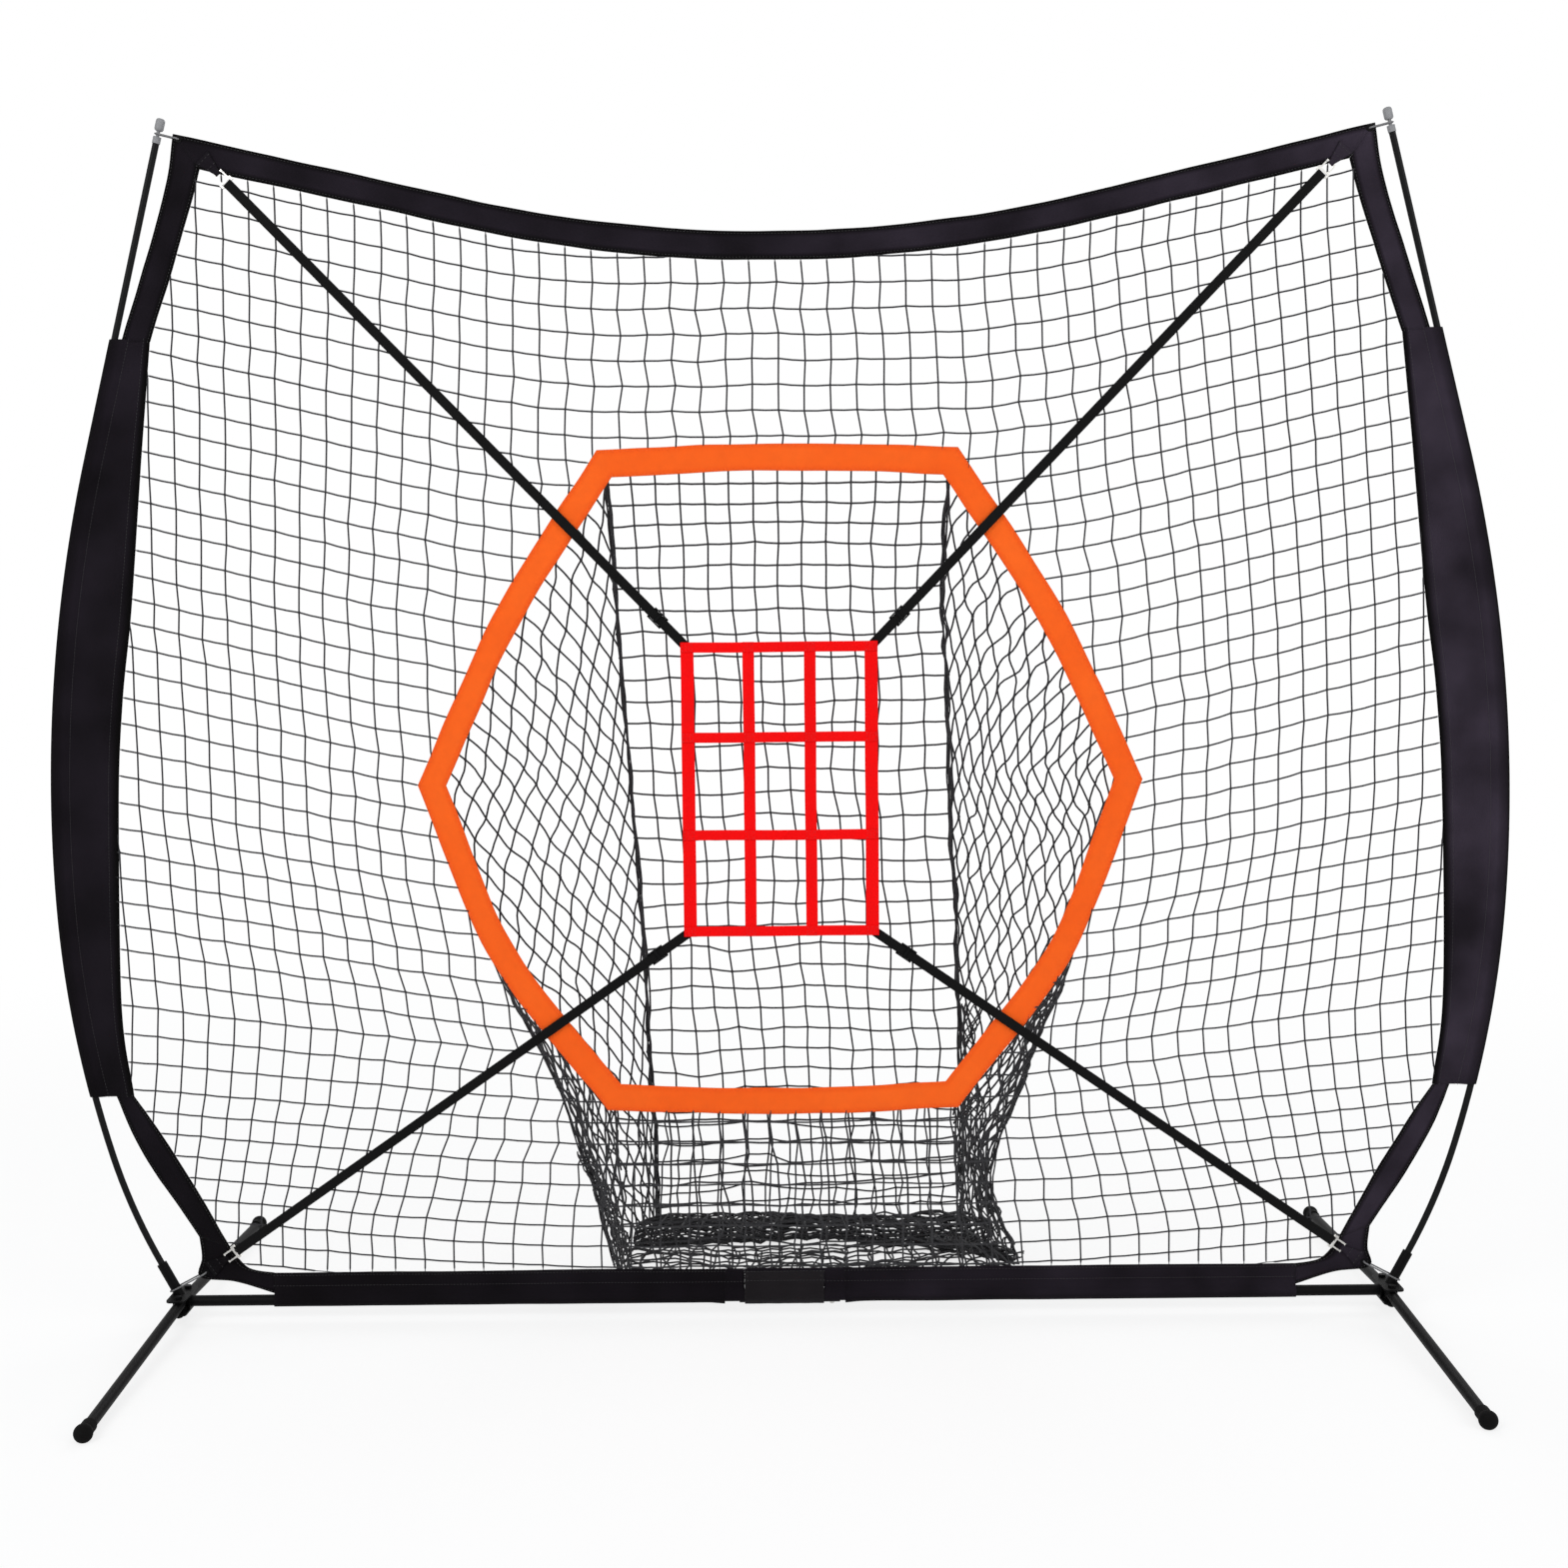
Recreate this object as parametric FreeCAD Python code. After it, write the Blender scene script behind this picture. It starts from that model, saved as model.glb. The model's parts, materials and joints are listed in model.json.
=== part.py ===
import FreeCAD, Part
import math
import os

# A practice net on a bowed frame: a steel base with four swivelling legs, two bent poles,
# a bordered face net with a six-sided mouth, a pocket behind the mouth that hangs to the
# ground, and a target of nine windows that four adjustable straps hold in front of it.
# +X is to the right, seen from the front, +Y to the back and +Z up. The origin is on the
# ground, below the middle of the crossbar. All sizes are in millimetres.

# Base
hub_x = 899.0            # from the middle to a hub's axis
bar_z = 30.0             # height of the crossbar's axis
tube_radius = 8.0        # crossbar and legs
tube_wall = 1.5
coupler_left = -68.0
coupler_right = 82.0
coupler_radius = 10.0
tube_fit = 0.1           # radial clearance of one tube in another
bar_joint_x = 7.0        # where the two crossbar tubes meet
bar_joint_gap = 0.4
bar_past_hub = 10.2

# Snap button of the coupler
button_x = 70.0
button_radius = 3.3
button_fit = 0.08
button_out = 2.6         # how far it stands out of the coupler
button_flange_radius = 4.0
button_flange_drop = 5.0     # from the tube's axis to the flange's lower face
button_flange_thickness = 0.8
leaf_thickness = 0.6
leaf_width = 6.0
leaf_length = 36.0

# Hubs
pivot_y = 25.0           # the legs' pivots, in front of and behind the crossbar
plate_gap = 18.0         # between the bracket's two plates
plate_thickness = 2.5
plate_inner = 13.0       # from the hub's axis towards the middle
plate_outer = 16.0       # from the hub's axis outwards
plate_half_length = 38.0
plate_corner = 8.0
web_half_length = 11.0
web_thickness = 2.5
outer_web_x = 10.5       # from the hub's axis to the outer web's inner face
bolt_radius = 3.0
bolt_fit = 0.08
bolt_head_radius = 5.5
bolt_head_height = 4.0
nut_height = 5.0
bolt_past_nut = 1.0
socket_radius = 7.5
socket_top = 65.0        # along the pole's axis, from the hub

# Legs and feet
foot_y = 446.0           # from the crossbar to a foot's centre
foot_z = 11.0            # height of a foot's centre
foot_radius = 12.5
foot_neck_radius = 10.0
foot_neck_length = 24.0
leg_past_pivot = 10.0
leg_in_foot = 5.0        # how far the tube goes past the foot's centre

# Poles
pole_radius = 4.75
pole_start = 18.0        # along the axis, from the hub to the pole's lower end
pole_section = 575.0
pole_section_gap = 0.2
pole_lean = 27.8         # degrees from the vertical at the hub
low_bend_radius = 867.0
low_bend_turn = 11.8
mid_bend_radius = 1618.0
mid_bend_turn = 13.2
high_bend_radius = 2221.0
high_bend_turn = 17.0
pole_fit = 0.12          # radial clearance in the ferrules and the sockets
ferrule_radius = 6.0
ferrule_length = 60.0
cap_collar_radius = 5.7
cap_collar_length = 8.0
cap_neck_radius = 2.6
cap_neck_length = 8.0
cap_head_radius = 6.5
cap_head_length = 18.0

# Border of the face net
fabric_half = 1.6        # half of the thickness of a folded band
net_half = 1.2           # half of the thickness of the face net
hem_mid_z = 1589.0       # top edge of the top hem at the middle
hem_width = 40.5
hem_arc_radius = 2000.0
hem_arc_half = 445.0     # half of the arc's span; outside it the hem runs straight
corner_x = 854.0
inner_corner_x = 818.0
band_bend_outer = (872.5, 1640.0)
band_bend_inner = (835.5, 1621.0)
band_width_low = 42.0    # width of the upper side band where it meets the sleeve
sleeve_top_z = 1445.0
sleeve_bottom_z = 342.0
sleeve_fit = 0.3
sleeve_wall = 1.0
# Height and width of the sleeve's flat part, measured from the pole's axis.
sleeve_widths = [
    (sleeve_bottom_z, 58.0),
    (477.0, 69.0),
    (774.0, 91.5),
    (925.0, 94.5),
    (1060.0, 96.5),
    (1270.0, 76.0),
    (sleeve_top_z, 51.0),
]
low_band_outer = [(987.0, sleeve_bottom_z), (965.0, 284.0), (931.0, 220.0), (872.0, 128.0)]
low_band_inner = [(917.0, 275.0), (878.0, 208.0), (826.0, 111.0)]
gusset_side = [(868.0, 96.0), (874.0, 64.0)]
gusset_low = (820.0, 60.0)
gusset_top = (800.0, 80.0)
bottom_hem_half = 762.0
bottom_hem_top = 72.0
bottom_sleeve_fit = 0.3
bottom_sleeve_wall = 1.6
bottom_web_low = 36.0
flap_half = 59.0
flap_x = -1.0
flap_wall = 1.6
flap_top = 68.0
coupler_bay = 90.0       # the bottom hem's sleeve is wider this far each side of the middle
bay_cover_low = 5.0      # from the tube's axis down to the edges of the wider part

# Mouth band
mouth_top_half = 260.0   # half of the top and bottom edges
mouth_side_half = 530.0
mouth_top_z = 1282.0
mouth_mid_z = 800.0
mouth_bottom_z = 314.0
mouth_upper_bow = 19.0   # how far the slanted edges bow out at their middles
mouth_lower_bow = 37.0
mouth_band_width = 39.0

# Netting
face_pitch = 95.0
face_strand = 5.0
face_rim = 7.0
pocket_pitch = 92.0
pocket_strand = 5.0
pocket_rim = 5.0
pocket_half = 0.8        # half of the thickness of the pocket's netting
back_seam = 0.9          # from a fold of the pocket to the edge of the net beside it
side_seam = 0.45
sharp_seam = 1.2         # at the folds that close up sharply
smallest_gap_area = 220.0
pocket_gap_behind_band = 0.3
# Height, depth, left and right edge of the pocket's back, from the mouth to the ground.
pocket_back = [
    (1120.0, 105.0, -247.0, 247.0),
    (900.0, 170.0, -238.0, 258.0),
    (560.0, 222.0, -221.0, 274.0),
    (240.0, 300.0, -211.0, 289.0),
    (14.0, 430.0, -216.0, 300.0),
]
pocket_bulge_right = (324.0, 125.0, 188.0)
pocket_bulge_left = (-338.0, 112.0, 300.0)
pocket_ground_right = (372.0, 215.0, 14.0)
pocket_ground_left = (-275.0, 215.0, 14.0)
pocket_front_right = (275.0, 116.0, 14.0)
pocket_front_left = (-240.0, 116.0, 14.0)
pile_low = 1.0
pile_top = 13.7
fold_inset = 24.0
# The folds of the bunched netting: the ends on the ground and the radius.
pile_folds = [
    ((-300, 190), (400, 165), 24.0),
    ((-300, 250), (400, 225), 34.0),
    ((-300, 315), (400, 290), 42.0),
    ((-300, 375), (400, 350), 30.0),
]

# Target
target_half_width = 143.0
target_top = 1004.5
target_bottom = 573.5
outer_upright_width = 19.0
inner_upright_width = 17.0
inner_upright_x = 44.5
rung_width = 15.0
inner_rung_heights = [866.0, 723.0]
target_strap_thickness = 1.2

# Hanging straps, from a corner of the target to a corner of the border
strap_width = 14.0
strap_thickness = 2.4
strap_plane = 5.4        # from the net's plane to the straps' plane
upper_strap_end = (777.0, 1661.0)
lower_strap_end = (814.0, 108.0)

# Slide adjusters
adjuster_from_corner = 60.0
adjuster_length = 26.0
adjuster_rail = 2.0
adjuster_bar = 4.0
adjuster_fit = 0.3
adjuster_thickness = 1.1

# Snap hooks, tabs and gates
hook_bar_radius = 1.2
hook_half_thickness = 1.4
hook_half_width = 10.4
hook_eye_length = 6.2
hook_length = 20.2       # from the eye's bar to the nose's bar
hook_nose_half_width = 7.8
hook_side = 2.6
loop_fit = 0.3
loop_wall = 1.0
tab_half_width = 4.4
tab_end_half_width = 13.0
tab_end = 52.0
gate_pin_radius = 0.6
gate_fit = 0.06
gate_half_thickness = 0.65
gate_slot_half = 0.75
gate_half_width = 1.1
gate_start = 7.0
gate_side_gap = 0.3

# Elastic loops and eyelets
cord_radius = 1.2
cord_fit = 0.3
base_cord_height = 22.0  # along the pole's axis
base_cord_reach = 52.0
tip_cord_reach = 30.0
eyelet_bore = 2.5
eyelet_barrel = 3.2
eyelet_flange = 5.0
eyelet_flange_thickness = 0.5

# Wider and higher than anything here, for cutting with
far = 1200.0
high = 2000.0

origin = FreeCAD.Vector(0, 0, 0)
x_axis = FreeCAD.Vector(1, 0, 0)
y_axis = FreeCAD.Vector(0, 1, 0)
z_axis = FreeCAD.Vector(0, 0, 1)
nodes = {}


def vec(x, y, z):
    return FreeCAD.Vector(x, y, z)


def mirrored(shape):
    return shape.mirror(origin, x_axis)


def tilted(shape, degrees, x, z):
    """Turns a shape made at the origin about the Y axis and moves it to (x, 0, z)."""
    moved = shape.copy()
    moved.rotate(origin, y_axis, degrees)
    moved.translate(vec(x, 0, z))
    return moved


def box(x_range, y_range, z_range):
    size = [b - a for a, b in (x_range, y_range, z_range)]
    return Part.makeBox(*size, vec(x_range[0], y_range[0], z_range[0]))


def rod(radius, start, end):
    return Part.makeCylinder(radius, (end - start).Length, start, end - start)


def polygon_face(points):
    return Part.Face(Part.makePolygon(points + [points[0]]))


def slab(points, y_low, y_high):
    """A flat piece from an outline of (x, z) points."""
    face = polygon_face([vec(x, y_low, z) for x, z in points])
    return face.extrude(vec(0, y_high - y_low, 0))


def add(name, *solids):
    nodes[name] = solids[0] if len(solids) == 1 else Part.makeCompound(list(solids))


def add_pair(name, right):
    add(name + "_right", right)
    add(name + "_left", mirrored(right))


# The pole's axis, in the plane y = 0, as a straight run in the socket, three bends and a
# straight run to the tip. A place on it is given by its distance from the hub.
pole_runs = [
    (socket_top, None, 0.0),
    (low_bend_radius * math.radians(low_bend_turn), low_bend_radius, low_bend_turn),
    (mid_bend_radius * math.radians(mid_bend_turn), mid_bend_radius, mid_bend_turn),
    (high_bend_radius * math.radians(high_bend_turn), high_bend_radius, high_bend_turn),
    (pole_start + 3 * pole_section, None, 0.0),
]
pole_end = pole_start + 3 * pole_section


def pole_place(distance):
    """The point on the pole's axis and the direction there, in degrees from the vertical."""
    x, z, lean, left = hub_x, bar_z, pole_lean, distance
    for length, radius, turn in pole_runs:
        step = min(left, length)
        angle = math.radians(lean)
        if radius is None:
            x += step * math.sin(angle)
            z += step * math.cos(angle)
        else:
            after = angle - step / radius
            x += radius * (math.cos(after) - math.cos(angle))
            z += radius * (math.sin(angle) - math.sin(after))
            lean = math.degrees(after)
        left -= step
        if left <= 0:
            break
    return vec(x, 0, z), lean


def pole_distance_at(height):
    low, high = 0.0, pole_end
    for _ in range(50):
        middle = (low + high) / 2
        if pole_place(middle)[0].z < height:
            low = middle
        else:
            high = middle
    return (low + high) / 2


def pole_edges(start, end):
    edges, run_start = [], 0.0
    for length, radius, turn in pole_runs:
        a = max(start, run_start)
        b = min(end, run_start + length)
        run_start += length
        if b - a < 0.01:
            continue
        first, last = pole_place(a)[0], pole_place(b)[0]
        if radius is None:
            edges.append(Part.LineSegment(first, last).toShape())
        else:
            edges.append(Part.Arc(first, pole_place((a + b) / 2)[0], last).toShape())
    return edges


def along_pole(radius, start, end):
    """A round bar that follows the pole's axis."""
    place, lean = pole_place(start)
    heading = vec(math.sin(math.radians(lean)), 0, math.cos(math.radians(lean)))
    ring = Part.Wire(Part.Circle(place, heading, radius).toShape())
    return Part.Wire(pole_edges(start, end)).makePipeShell([ring], True, False)


def at_pole(shape, distance):
    """Puts a shape, made at the origin along +Z, on the pole's axis."""
    place, lean = pole_place(distance)
    return tilted(shape, lean, place.x, place.z)


def cord_loop(radius, reach):
    """An elastic loop round the origin, from there to reach along -X, in the XY plane."""
    far = reach - radius
    parts = []
    for centre, side in ((0.0, 1), (-far, -1)):
        ring = Part.makeTorus(radius, cord_radius, vec(centre, 0, 0), z_axis)
        width = 2 * (radius + 2 * cord_radius)
        half = Part.makeBox(width, width, width, vec(centre, -width / 2, -width / 2))
        if side < 0:
            half.translate(vec(-width, 0, 0))
        parts.append(ring.common(half))
    for y in (-radius, radius):
        parts.append(rod(cord_radius, vec(-far, y, 0), vec(0, y, 0)))
    return parts[0].multiFuse(parts[1:]).removeSplitter()


# Crossbar and coupler
bar_bore = tube_radius - tube_wall
bar_end = hub_x + bar_past_hub


def bar_tube(start, end):
    tube = rod(tube_radius, vec(start, 0, bar_z), vec(end, 0, bar_z))
    return tube.cut(rod(bar_bore, vec(start, 0, bar_z), vec(end, 0, bar_z)))


button_hole = rod(button_radius + button_fit, vec(button_x, 0, 0), vec(button_x, 0, bar_z))
add("crossbar_left", bar_tube(-bar_end, bar_joint_x - bar_joint_gap / 2))
add("crossbar_right", bar_tube(bar_joint_x + bar_joint_gap / 2, bar_end).cut(button_hole))

coupler_start, coupler_end = vec(coupler_left, 0, bar_z), vec(coupler_right, 0, bar_z)
coupler = rod(coupler_radius, coupler_start, coupler_end)
coupler = coupler.cut(rod(tube_radius + tube_fit, coupler_start, coupler_end))
add("crossbar_coupler", coupler.cut(button_hole))

button_bottom = bar_z - coupler_radius - button_out
flange_low = bar_z - button_flange_drop
button = rod(button_radius, vec(button_x, 0, button_bottom), vec(button_x, 0, flange_low))
button = button.makeFillet(1.2, [e for e in button.Edges if e.BoundBox.ZMax < button_bottom + 0.1])
flange_high = flange_low + button_flange_thickness
flange = rod(button_flange_radius, vec(button_x, 0, flange_low), vec(button_x, 0, flange_high))
add("coupler_button", button.fuse(flange))

# The leaf spring is a narrow V. Its lower leaf carries the button.
leaf_x = button_x + button_flange_radius
leaf_top = bar_z + math.sqrt(bar_bore ** 2 - (leaf_width / 2) ** 2) - 0.1
leaf_bend_x = leaf_x - leaf_length
leaf_bend_low = leaf_top - 4.0
leaf = slab(
    [
        (leaf_x, flange_high),
        (leaf_bend_x, leaf_bend_low),
        (leaf_bend_x - 1.5, leaf_top - 1.5),
        (leaf_bend_x, leaf_top),
        (leaf_x, leaf_top),
        (leaf_x, leaf_top - leaf_thickness),
        (leaf_bend_x + 0.3, leaf_top - leaf_thickness),
        (leaf_bend_x - 1.5 + leaf_thickness, leaf_top - 1.7),
        (leaf_bend_x + 0.2, leaf_bend_low + leaf_thickness),
        (leaf_x, flange_high + leaf_thickness),
    ],
    -leaf_width / 2,
    leaf_width / 2,
)
add("button_spring", leaf)

# Hub brackets, sockets, bolts and nuts
plate_low = bar_z - plate_gap / 2 - plate_thickness
plate_high = bar_z + plate_gap / 2
bracket_top = plate_high + plate_thickness


def bracket_plate(z):
    plate = box(
        (hub_x - plate_inner, hub_x + plate_outer),
        (-plate_half_length, plate_half_length),
        (z, z + plate_thickness),
    )
    upright = [e for e in plate.Edges if e.BoundBox.ZLength > plate_thickness / 2]
    return plate.makeFillet(plate_corner, upright)


web_z = (plate_low + plate_thickness, plate_high)
web_y = (-web_half_length, web_half_length)
inner_web = box((hub_x - plate_inner, hub_x - plate_inner + web_thickness), web_y, web_z)
bar_hole = rod(tube_radius + tube_fit, vec(0, 0, bar_z), vec(hub_x, 0, bar_z))
inner_web = inner_web.cut(bar_hole)
outer_web = box((hub_x + outer_web_x, hub_x + outer_web_x + web_thickness), web_y, web_z)
bracket = bracket_plate(plate_low).multiFuse([bracket_plate(plate_high), inner_web, outer_web])
for side in (-1, 1):
    hole_low = vec(hub_x, side * pivot_y, 0)
    bracket = bracket.cut(rod(bolt_radius + bolt_fit, hole_low, hole_low + z_axis * 100))
add_pair("hub_bracket", bracket.removeSplitter())

socket = along_pole(socket_radius, 0, socket_top)
socket = socket.cut(along_pole(pole_radius + pole_fit, 0, socket_top))
above_plate = box((hub_x - 50, hub_x + 100), (-50, 50), (bracket_top, bracket_top + 200))
socket = socket.common(above_plate)
add("pole_sockets", socket, mirrored(socket))

bolts, nuts = [], []
for x in (-hub_x, hub_x):
    for y in (-pivot_y, pivot_y):
        low = vec(x, y, plate_low - nut_height - bolt_past_nut)
        shank = rod(bolt_radius, low, vec(x, y, bracket_top))
        head = Part.Face(Part.makePolygon([
            vec(x + bolt_head_radius * math.cos(math.radians(60 * k)),
                y + bolt_head_radius * math.sin(math.radians(60 * k)), bracket_top)
            for k in range(7)
        ]))
        bolts.append(shank.fuse(head.extrude(vec(0, 0, bolt_head_height))))
        nut = head.extrude(vec(0, 0, nut_height))
        nut.translate(vec(0, 0, plate_low - nut_height - bracket_top))
        nuts.append(nut.cut(rod(bolt_radius + bolt_fit, low, vec(x, y, bar_z))))
add("pivot_bolts", *bolts)
add("pivot_lock_nuts", *nuts)

# Legs. Each slopes from its pivot down to the foot.
for end, side in (("front", -1), ("rear", 1)):
    pivot = vec(hub_x, side * pivot_y, bar_z)
    foot = vec(hub_x, side * foot_y, foot_z)
    heading = (foot - pivot).normalize()
    leg_start = pivot - heading * leg_past_pivot
    leg_end = foot + heading * leg_in_foot
    leg = rod(tube_radius, leg_start, leg_end).cut(rod(bar_bore, leg_start, leg_end))
    leg = leg.cut(rod(bolt_radius + bolt_fit, vec(pivot.x, pivot.y, 0), pivot + z_axis * 50))
    add_pair("leg_" + end, leg)

    ball = Part.makeSphere(foot_radius, foot)
    neck = rod(foot_neck_radius, foot - heading * foot_neck_length, foot)
    cap = ball.fuse(neck).cut(rod(tube_radius + tube_fit, leg_start, leg_end + heading * tube_fit))
    above_ground = box((hub_x - 60, hub_x + 60), (foot.y - 60, foot.y + 60), (0, 100))
    add_pair("foot_cap_" + end, cap.common(above_ground))

# Poles, ferrules and tip caps
for number, name in enumerate(("pole_lower", "pole_middle", "pole_upper")):
    start = pole_start + number * pole_section
    end = start + pole_section - (pole_section_gap if number < 2 else 0)
    add_pair(name, along_pole(pole_radius, start, end))

ferrules = []
for number in (1, 2):
    middle = pole_start + number * pole_section
    ends = (middle - ferrule_length / 2, middle + ferrule_length / 2)
    ferrule = along_pole(ferrule_radius, *ends).cut(along_pole(pole_radius + pole_fit, *ends))
    ferrules += [ferrule, mirrored(ferrule)]
add("pole_ferrules", *ferrules)

cap_neck_top = 1.5 + cap_neck_length
cap_head_top = cap_neck_top + cap_head_length
tip_cap = rod(cap_collar_radius, vec(0, 0, -cap_collar_length), vec(0, 0, 1.5))
tip_cap = tip_cap.cut(rod(pole_radius + pole_fit, vec(0, 0, -cap_collar_length), origin))
tip_cap = tip_cap.fuse(rod(cap_neck_radius, origin, vec(0, 0, cap_neck_top)))
head = rod(cap_head_radius, vec(0, 0, cap_neck_top), vec(0, 0, cap_head_top))
head = head.makeFillet(cap_head_radius * 0.6, [head.Edges[0], head.Edges[2]])
tip_cap = at_pole(tip_cap.fuse(head), pole_end)
add("pole_tip_caps", tip_cap, mirrored(tip_cap))

# Elastic loops, from an eyelet in the border round the pole's socket or its tip cap
base_loop = at_pole(
    cord_loop(socket_radius + cord_fit + cord_radius, base_cord_reach), base_cord_height
)
tip_loop_at = pole_end + 1.5 + cap_neck_length / 2
tip_loop = at_pole(cord_loop(cap_neck_radius + cord_fit + cord_radius, tip_cord_reach), tip_loop_at)
add("elastic_loops", base_loop, mirrored(base_loop), tip_loop, mirrored(tip_loop))

eyelet_places, eyelets = [], []
for distance, reach in ((base_cord_height, base_cord_reach), (tip_loop_at, tip_cord_reach)):
    place, lean = pole_place(distance)
    inward = vec(-math.cos(math.radians(lean)), 0, math.sin(math.radians(lean)))
    eyelet_places.append(place + inward * reach)
eyelet_half = fabric_half + eyelet_flange_thickness
for place in eyelet_places:
    front, back = place - y_axis * eyelet_half, place + y_axis * eyelet_half
    ring = rod(eyelet_barrel, front, back)
    for a, b in ((front, front + y_axis * eyelet_flange_thickness),
                 (back - y_axis * eyelet_flange_thickness, back)):
        ring = ring.fuse(rod(eyelet_flange, a, b))
    ring = ring.cut(rod(eyelet_bore, front, back))
    eyelets += [ring, mirrored(ring)]
add("corner_eyelets", *eyelets)


def eyelet_hole(place):
    reach = y_axis * (2 * fabric_half)
    return rod(eyelet_barrel + 0.05, place - reach, place + reach)


# Top hem: an arc with a straight run each side, cut at the corners
hem_centre_z = hem_mid_z + hem_arc_radius
hem_angle = math.asin(hem_arc_half / hem_arc_radius)


def hem_end(x, depth):
    """A point on the straight run, at x, and depth below the hem's top edge."""
    rise = hem_arc_radius * (1 - math.cos(hem_angle))
    slope = math.tan(hem_angle)
    z = hem_mid_z + rise + slope * (x - hem_arc_half) - depth / math.cos(hem_angle)
    return vec(x, 0, z)


def hem_edges(corner, depth):
    """The hem's edge at that depth, from the left corner to the right one."""
    radius = hem_arc_radius + depth
    bend = vec(radius * math.sin(hem_angle), 0, hem_centre_z - radius * math.cos(hem_angle))
    bottom = vec(0, 0, hem_centre_z - radius)
    left_corner, left_bend = vec(-corner.x, 0, corner.z), vec(-bend.x, 0, bend.z)
    return [
        Part.LineSegment(left_corner, left_bend).toShape(),
        Part.Arc(left_bend, bottom, bend).toShape(),
        Part.LineSegment(bend, corner).toShape(),
    ]


def joined(edges, y_low, y_high):
    """A flat piece from edges that make one closed outline in the plane y = 0."""
    face = Part.Face(Part.Wire(Part.sortEdges(edges)[0]))
    face.translate(vec(0, y_low, 0))
    return face.extrude(vec(0, y_high - y_low, 0))


def line(a, b):
    return Part.LineSegment(a, b).toShape()


outer_corner = hem_end(corner_x, 0)
inner_corner = hem_end(inner_corner_x, hem_width)
hem_top = hem_edges(outer_corner, 0)
hem_low = hem_edges(inner_corner, hem_width)
ends = [
    line(vec(side * inner_corner.x, 0, inner_corner.z), vec(side * outer_corner.x, 0, outer_corner.z))
    for side in (-1, 1)
]
top_hem = joined(hem_top + hem_low + ends, -fabric_half, fabric_half)
top_hole = eyelet_hole(eyelet_places[1])
add("top_hem", top_hem.cut(top_hole).cut(mirrored(top_hole)))

# Side sleeves: a flat part with a tunnel for the pole along its outer edge
sleeve_bottom = pole_distance_at(sleeve_bottom_z)
sleeve_top = pole_distance_at(sleeve_top_z)
sleeve_inner_points = []
for height, width in sleeve_widths:
    place = pole_place(pole_distance_at(height))[0]
    sleeve_inner_points.append(vec(place.x - width, 0, height))
curve = Part.BSplineCurve()
curve.interpolate(sleeve_inner_points)
sleeve_inner = curve.toShape()
sleeve_outline = pole_edges(sleeve_bottom, sleeve_top)
sleeve_outline.append(line(pole_place(sleeve_top)[0], sleeve_inner_points[-1]))
sleeve_outline.append(line(pole_place(sleeve_bottom)[0], sleeve_inner_points[0]))
sleeve_outline.append(sleeve_inner)
tunnel_bore = ferrule_radius + sleeve_fit
tunnel = along_pole(tunnel_bore + sleeve_wall, sleeve_bottom, sleeve_top)
sleeve = joined(sleeve_outline, -fabric_half, fabric_half).fuse(tunnel)
sleeve = sleeve.cut(along_pole(tunnel_bore, sleeve_bottom - 20, sleeve_top + 20))
add_pair("side_sleeve", sleeve)

# Upper and lower side bands
sleeve_top_inner = (sleeve_inner_points[-1].x, sleeve_top_z)
band_outline = [
    (inner_corner.x, inner_corner.z),
    (outer_corner.x, outer_corner.z),
    band_bend_outer,
    (sleeve_top_inner[0] + band_width_low, sleeve_top_z),
    sleeve_top_inner,
    band_bend_inner,
]
upper_band = slab(band_outline, -fabric_half, fabric_half).cut(top_hole)
add("upper_side_bands", upper_band, mirrored(upper_band))

sleeve_low_inner = (sleeve_inner_points[0].x, sleeve_bottom_z)
low_band = slab(
    low_band_outer + low_band_inner[::-1] + [sleeve_low_inner], -fabric_half, fabric_half
)
add("lower_side_bands", low_band, mirrored(low_band))

# Corner gussets and the bottom hem
gusset_bottom = (bottom_hem_half, bottom_web_low + 8)
gusset = slab(
    [low_band_inner[-1], low_band_outer[-1]] + gusset_side
    + [gusset_low, gusset_bottom, (bottom_hem_half, bottom_hem_top), gusset_top],
    -fabric_half,
    fabric_half,
).cut(eyelet_hole(eyelet_places[0]))
add("corner_gussets", gusset, mirrored(gusset))

hem_bore = tube_radius + bottom_sleeve_fit
hem_sleeve_radius = hem_bore + bottom_sleeve_wall
flap_bore = coupler_radius + bottom_sleeve_fit
flap_radius = flap_bore + flap_wall
flap_start, flap_end = flap_x - flap_half, flap_x + flap_half
bay_left, bay_right = flap_start - bottom_sleeve_fit, flap_end + bottom_sleeve_fit
bay_top = bar_z + flap_radius + bottom_sleeve_fit
bottom_hem = slab(
    [
        (-bottom_hem_half, bottom_web_low),
        (bay_left, bottom_web_low),
        (bay_left, bay_top),
        (bay_right, bay_top),
        (bay_right, bottom_web_low),
        (bottom_hem_half, bottom_web_low),
        (bottom_hem_half, bottom_hem_top),
        (-bottom_hem_half, bottom_hem_top),
    ],
    -fabric_half,
    fabric_half,
)
# The sleeve is wider over the coupler's ends, and open below there for the snap button.
below_bar = box((-far, far), (-far, far), (-far, bar_z - bay_cover_low))
for end, bay_end, wide_end in (
    (-bottom_hem_half, bay_left, -coupler_bay),
    (bottom_hem_half, bay_right, coupler_bay),
):
    wide = rod(flap_radius, vec(bay_end, 0, bar_z), vec(wide_end, 0, bar_z)).cut(below_bar)
    bottom_hem = bottom_hem.fuse(wide).cut(rod(flap_bore, vec(bay_end, 0, bar_z), vec(wide_end, 0, bar_z)))
    bottom_hem = bottom_hem.fuse(rod(hem_sleeve_radius, vec(wide_end, 0, bar_z), vec(end, 0, bar_z)))
bottom_hem = bottom_hem.cut(rod(hem_bore, vec(-hub_x, 0, bar_z), vec(hub_x, 0, bar_z)))
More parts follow.
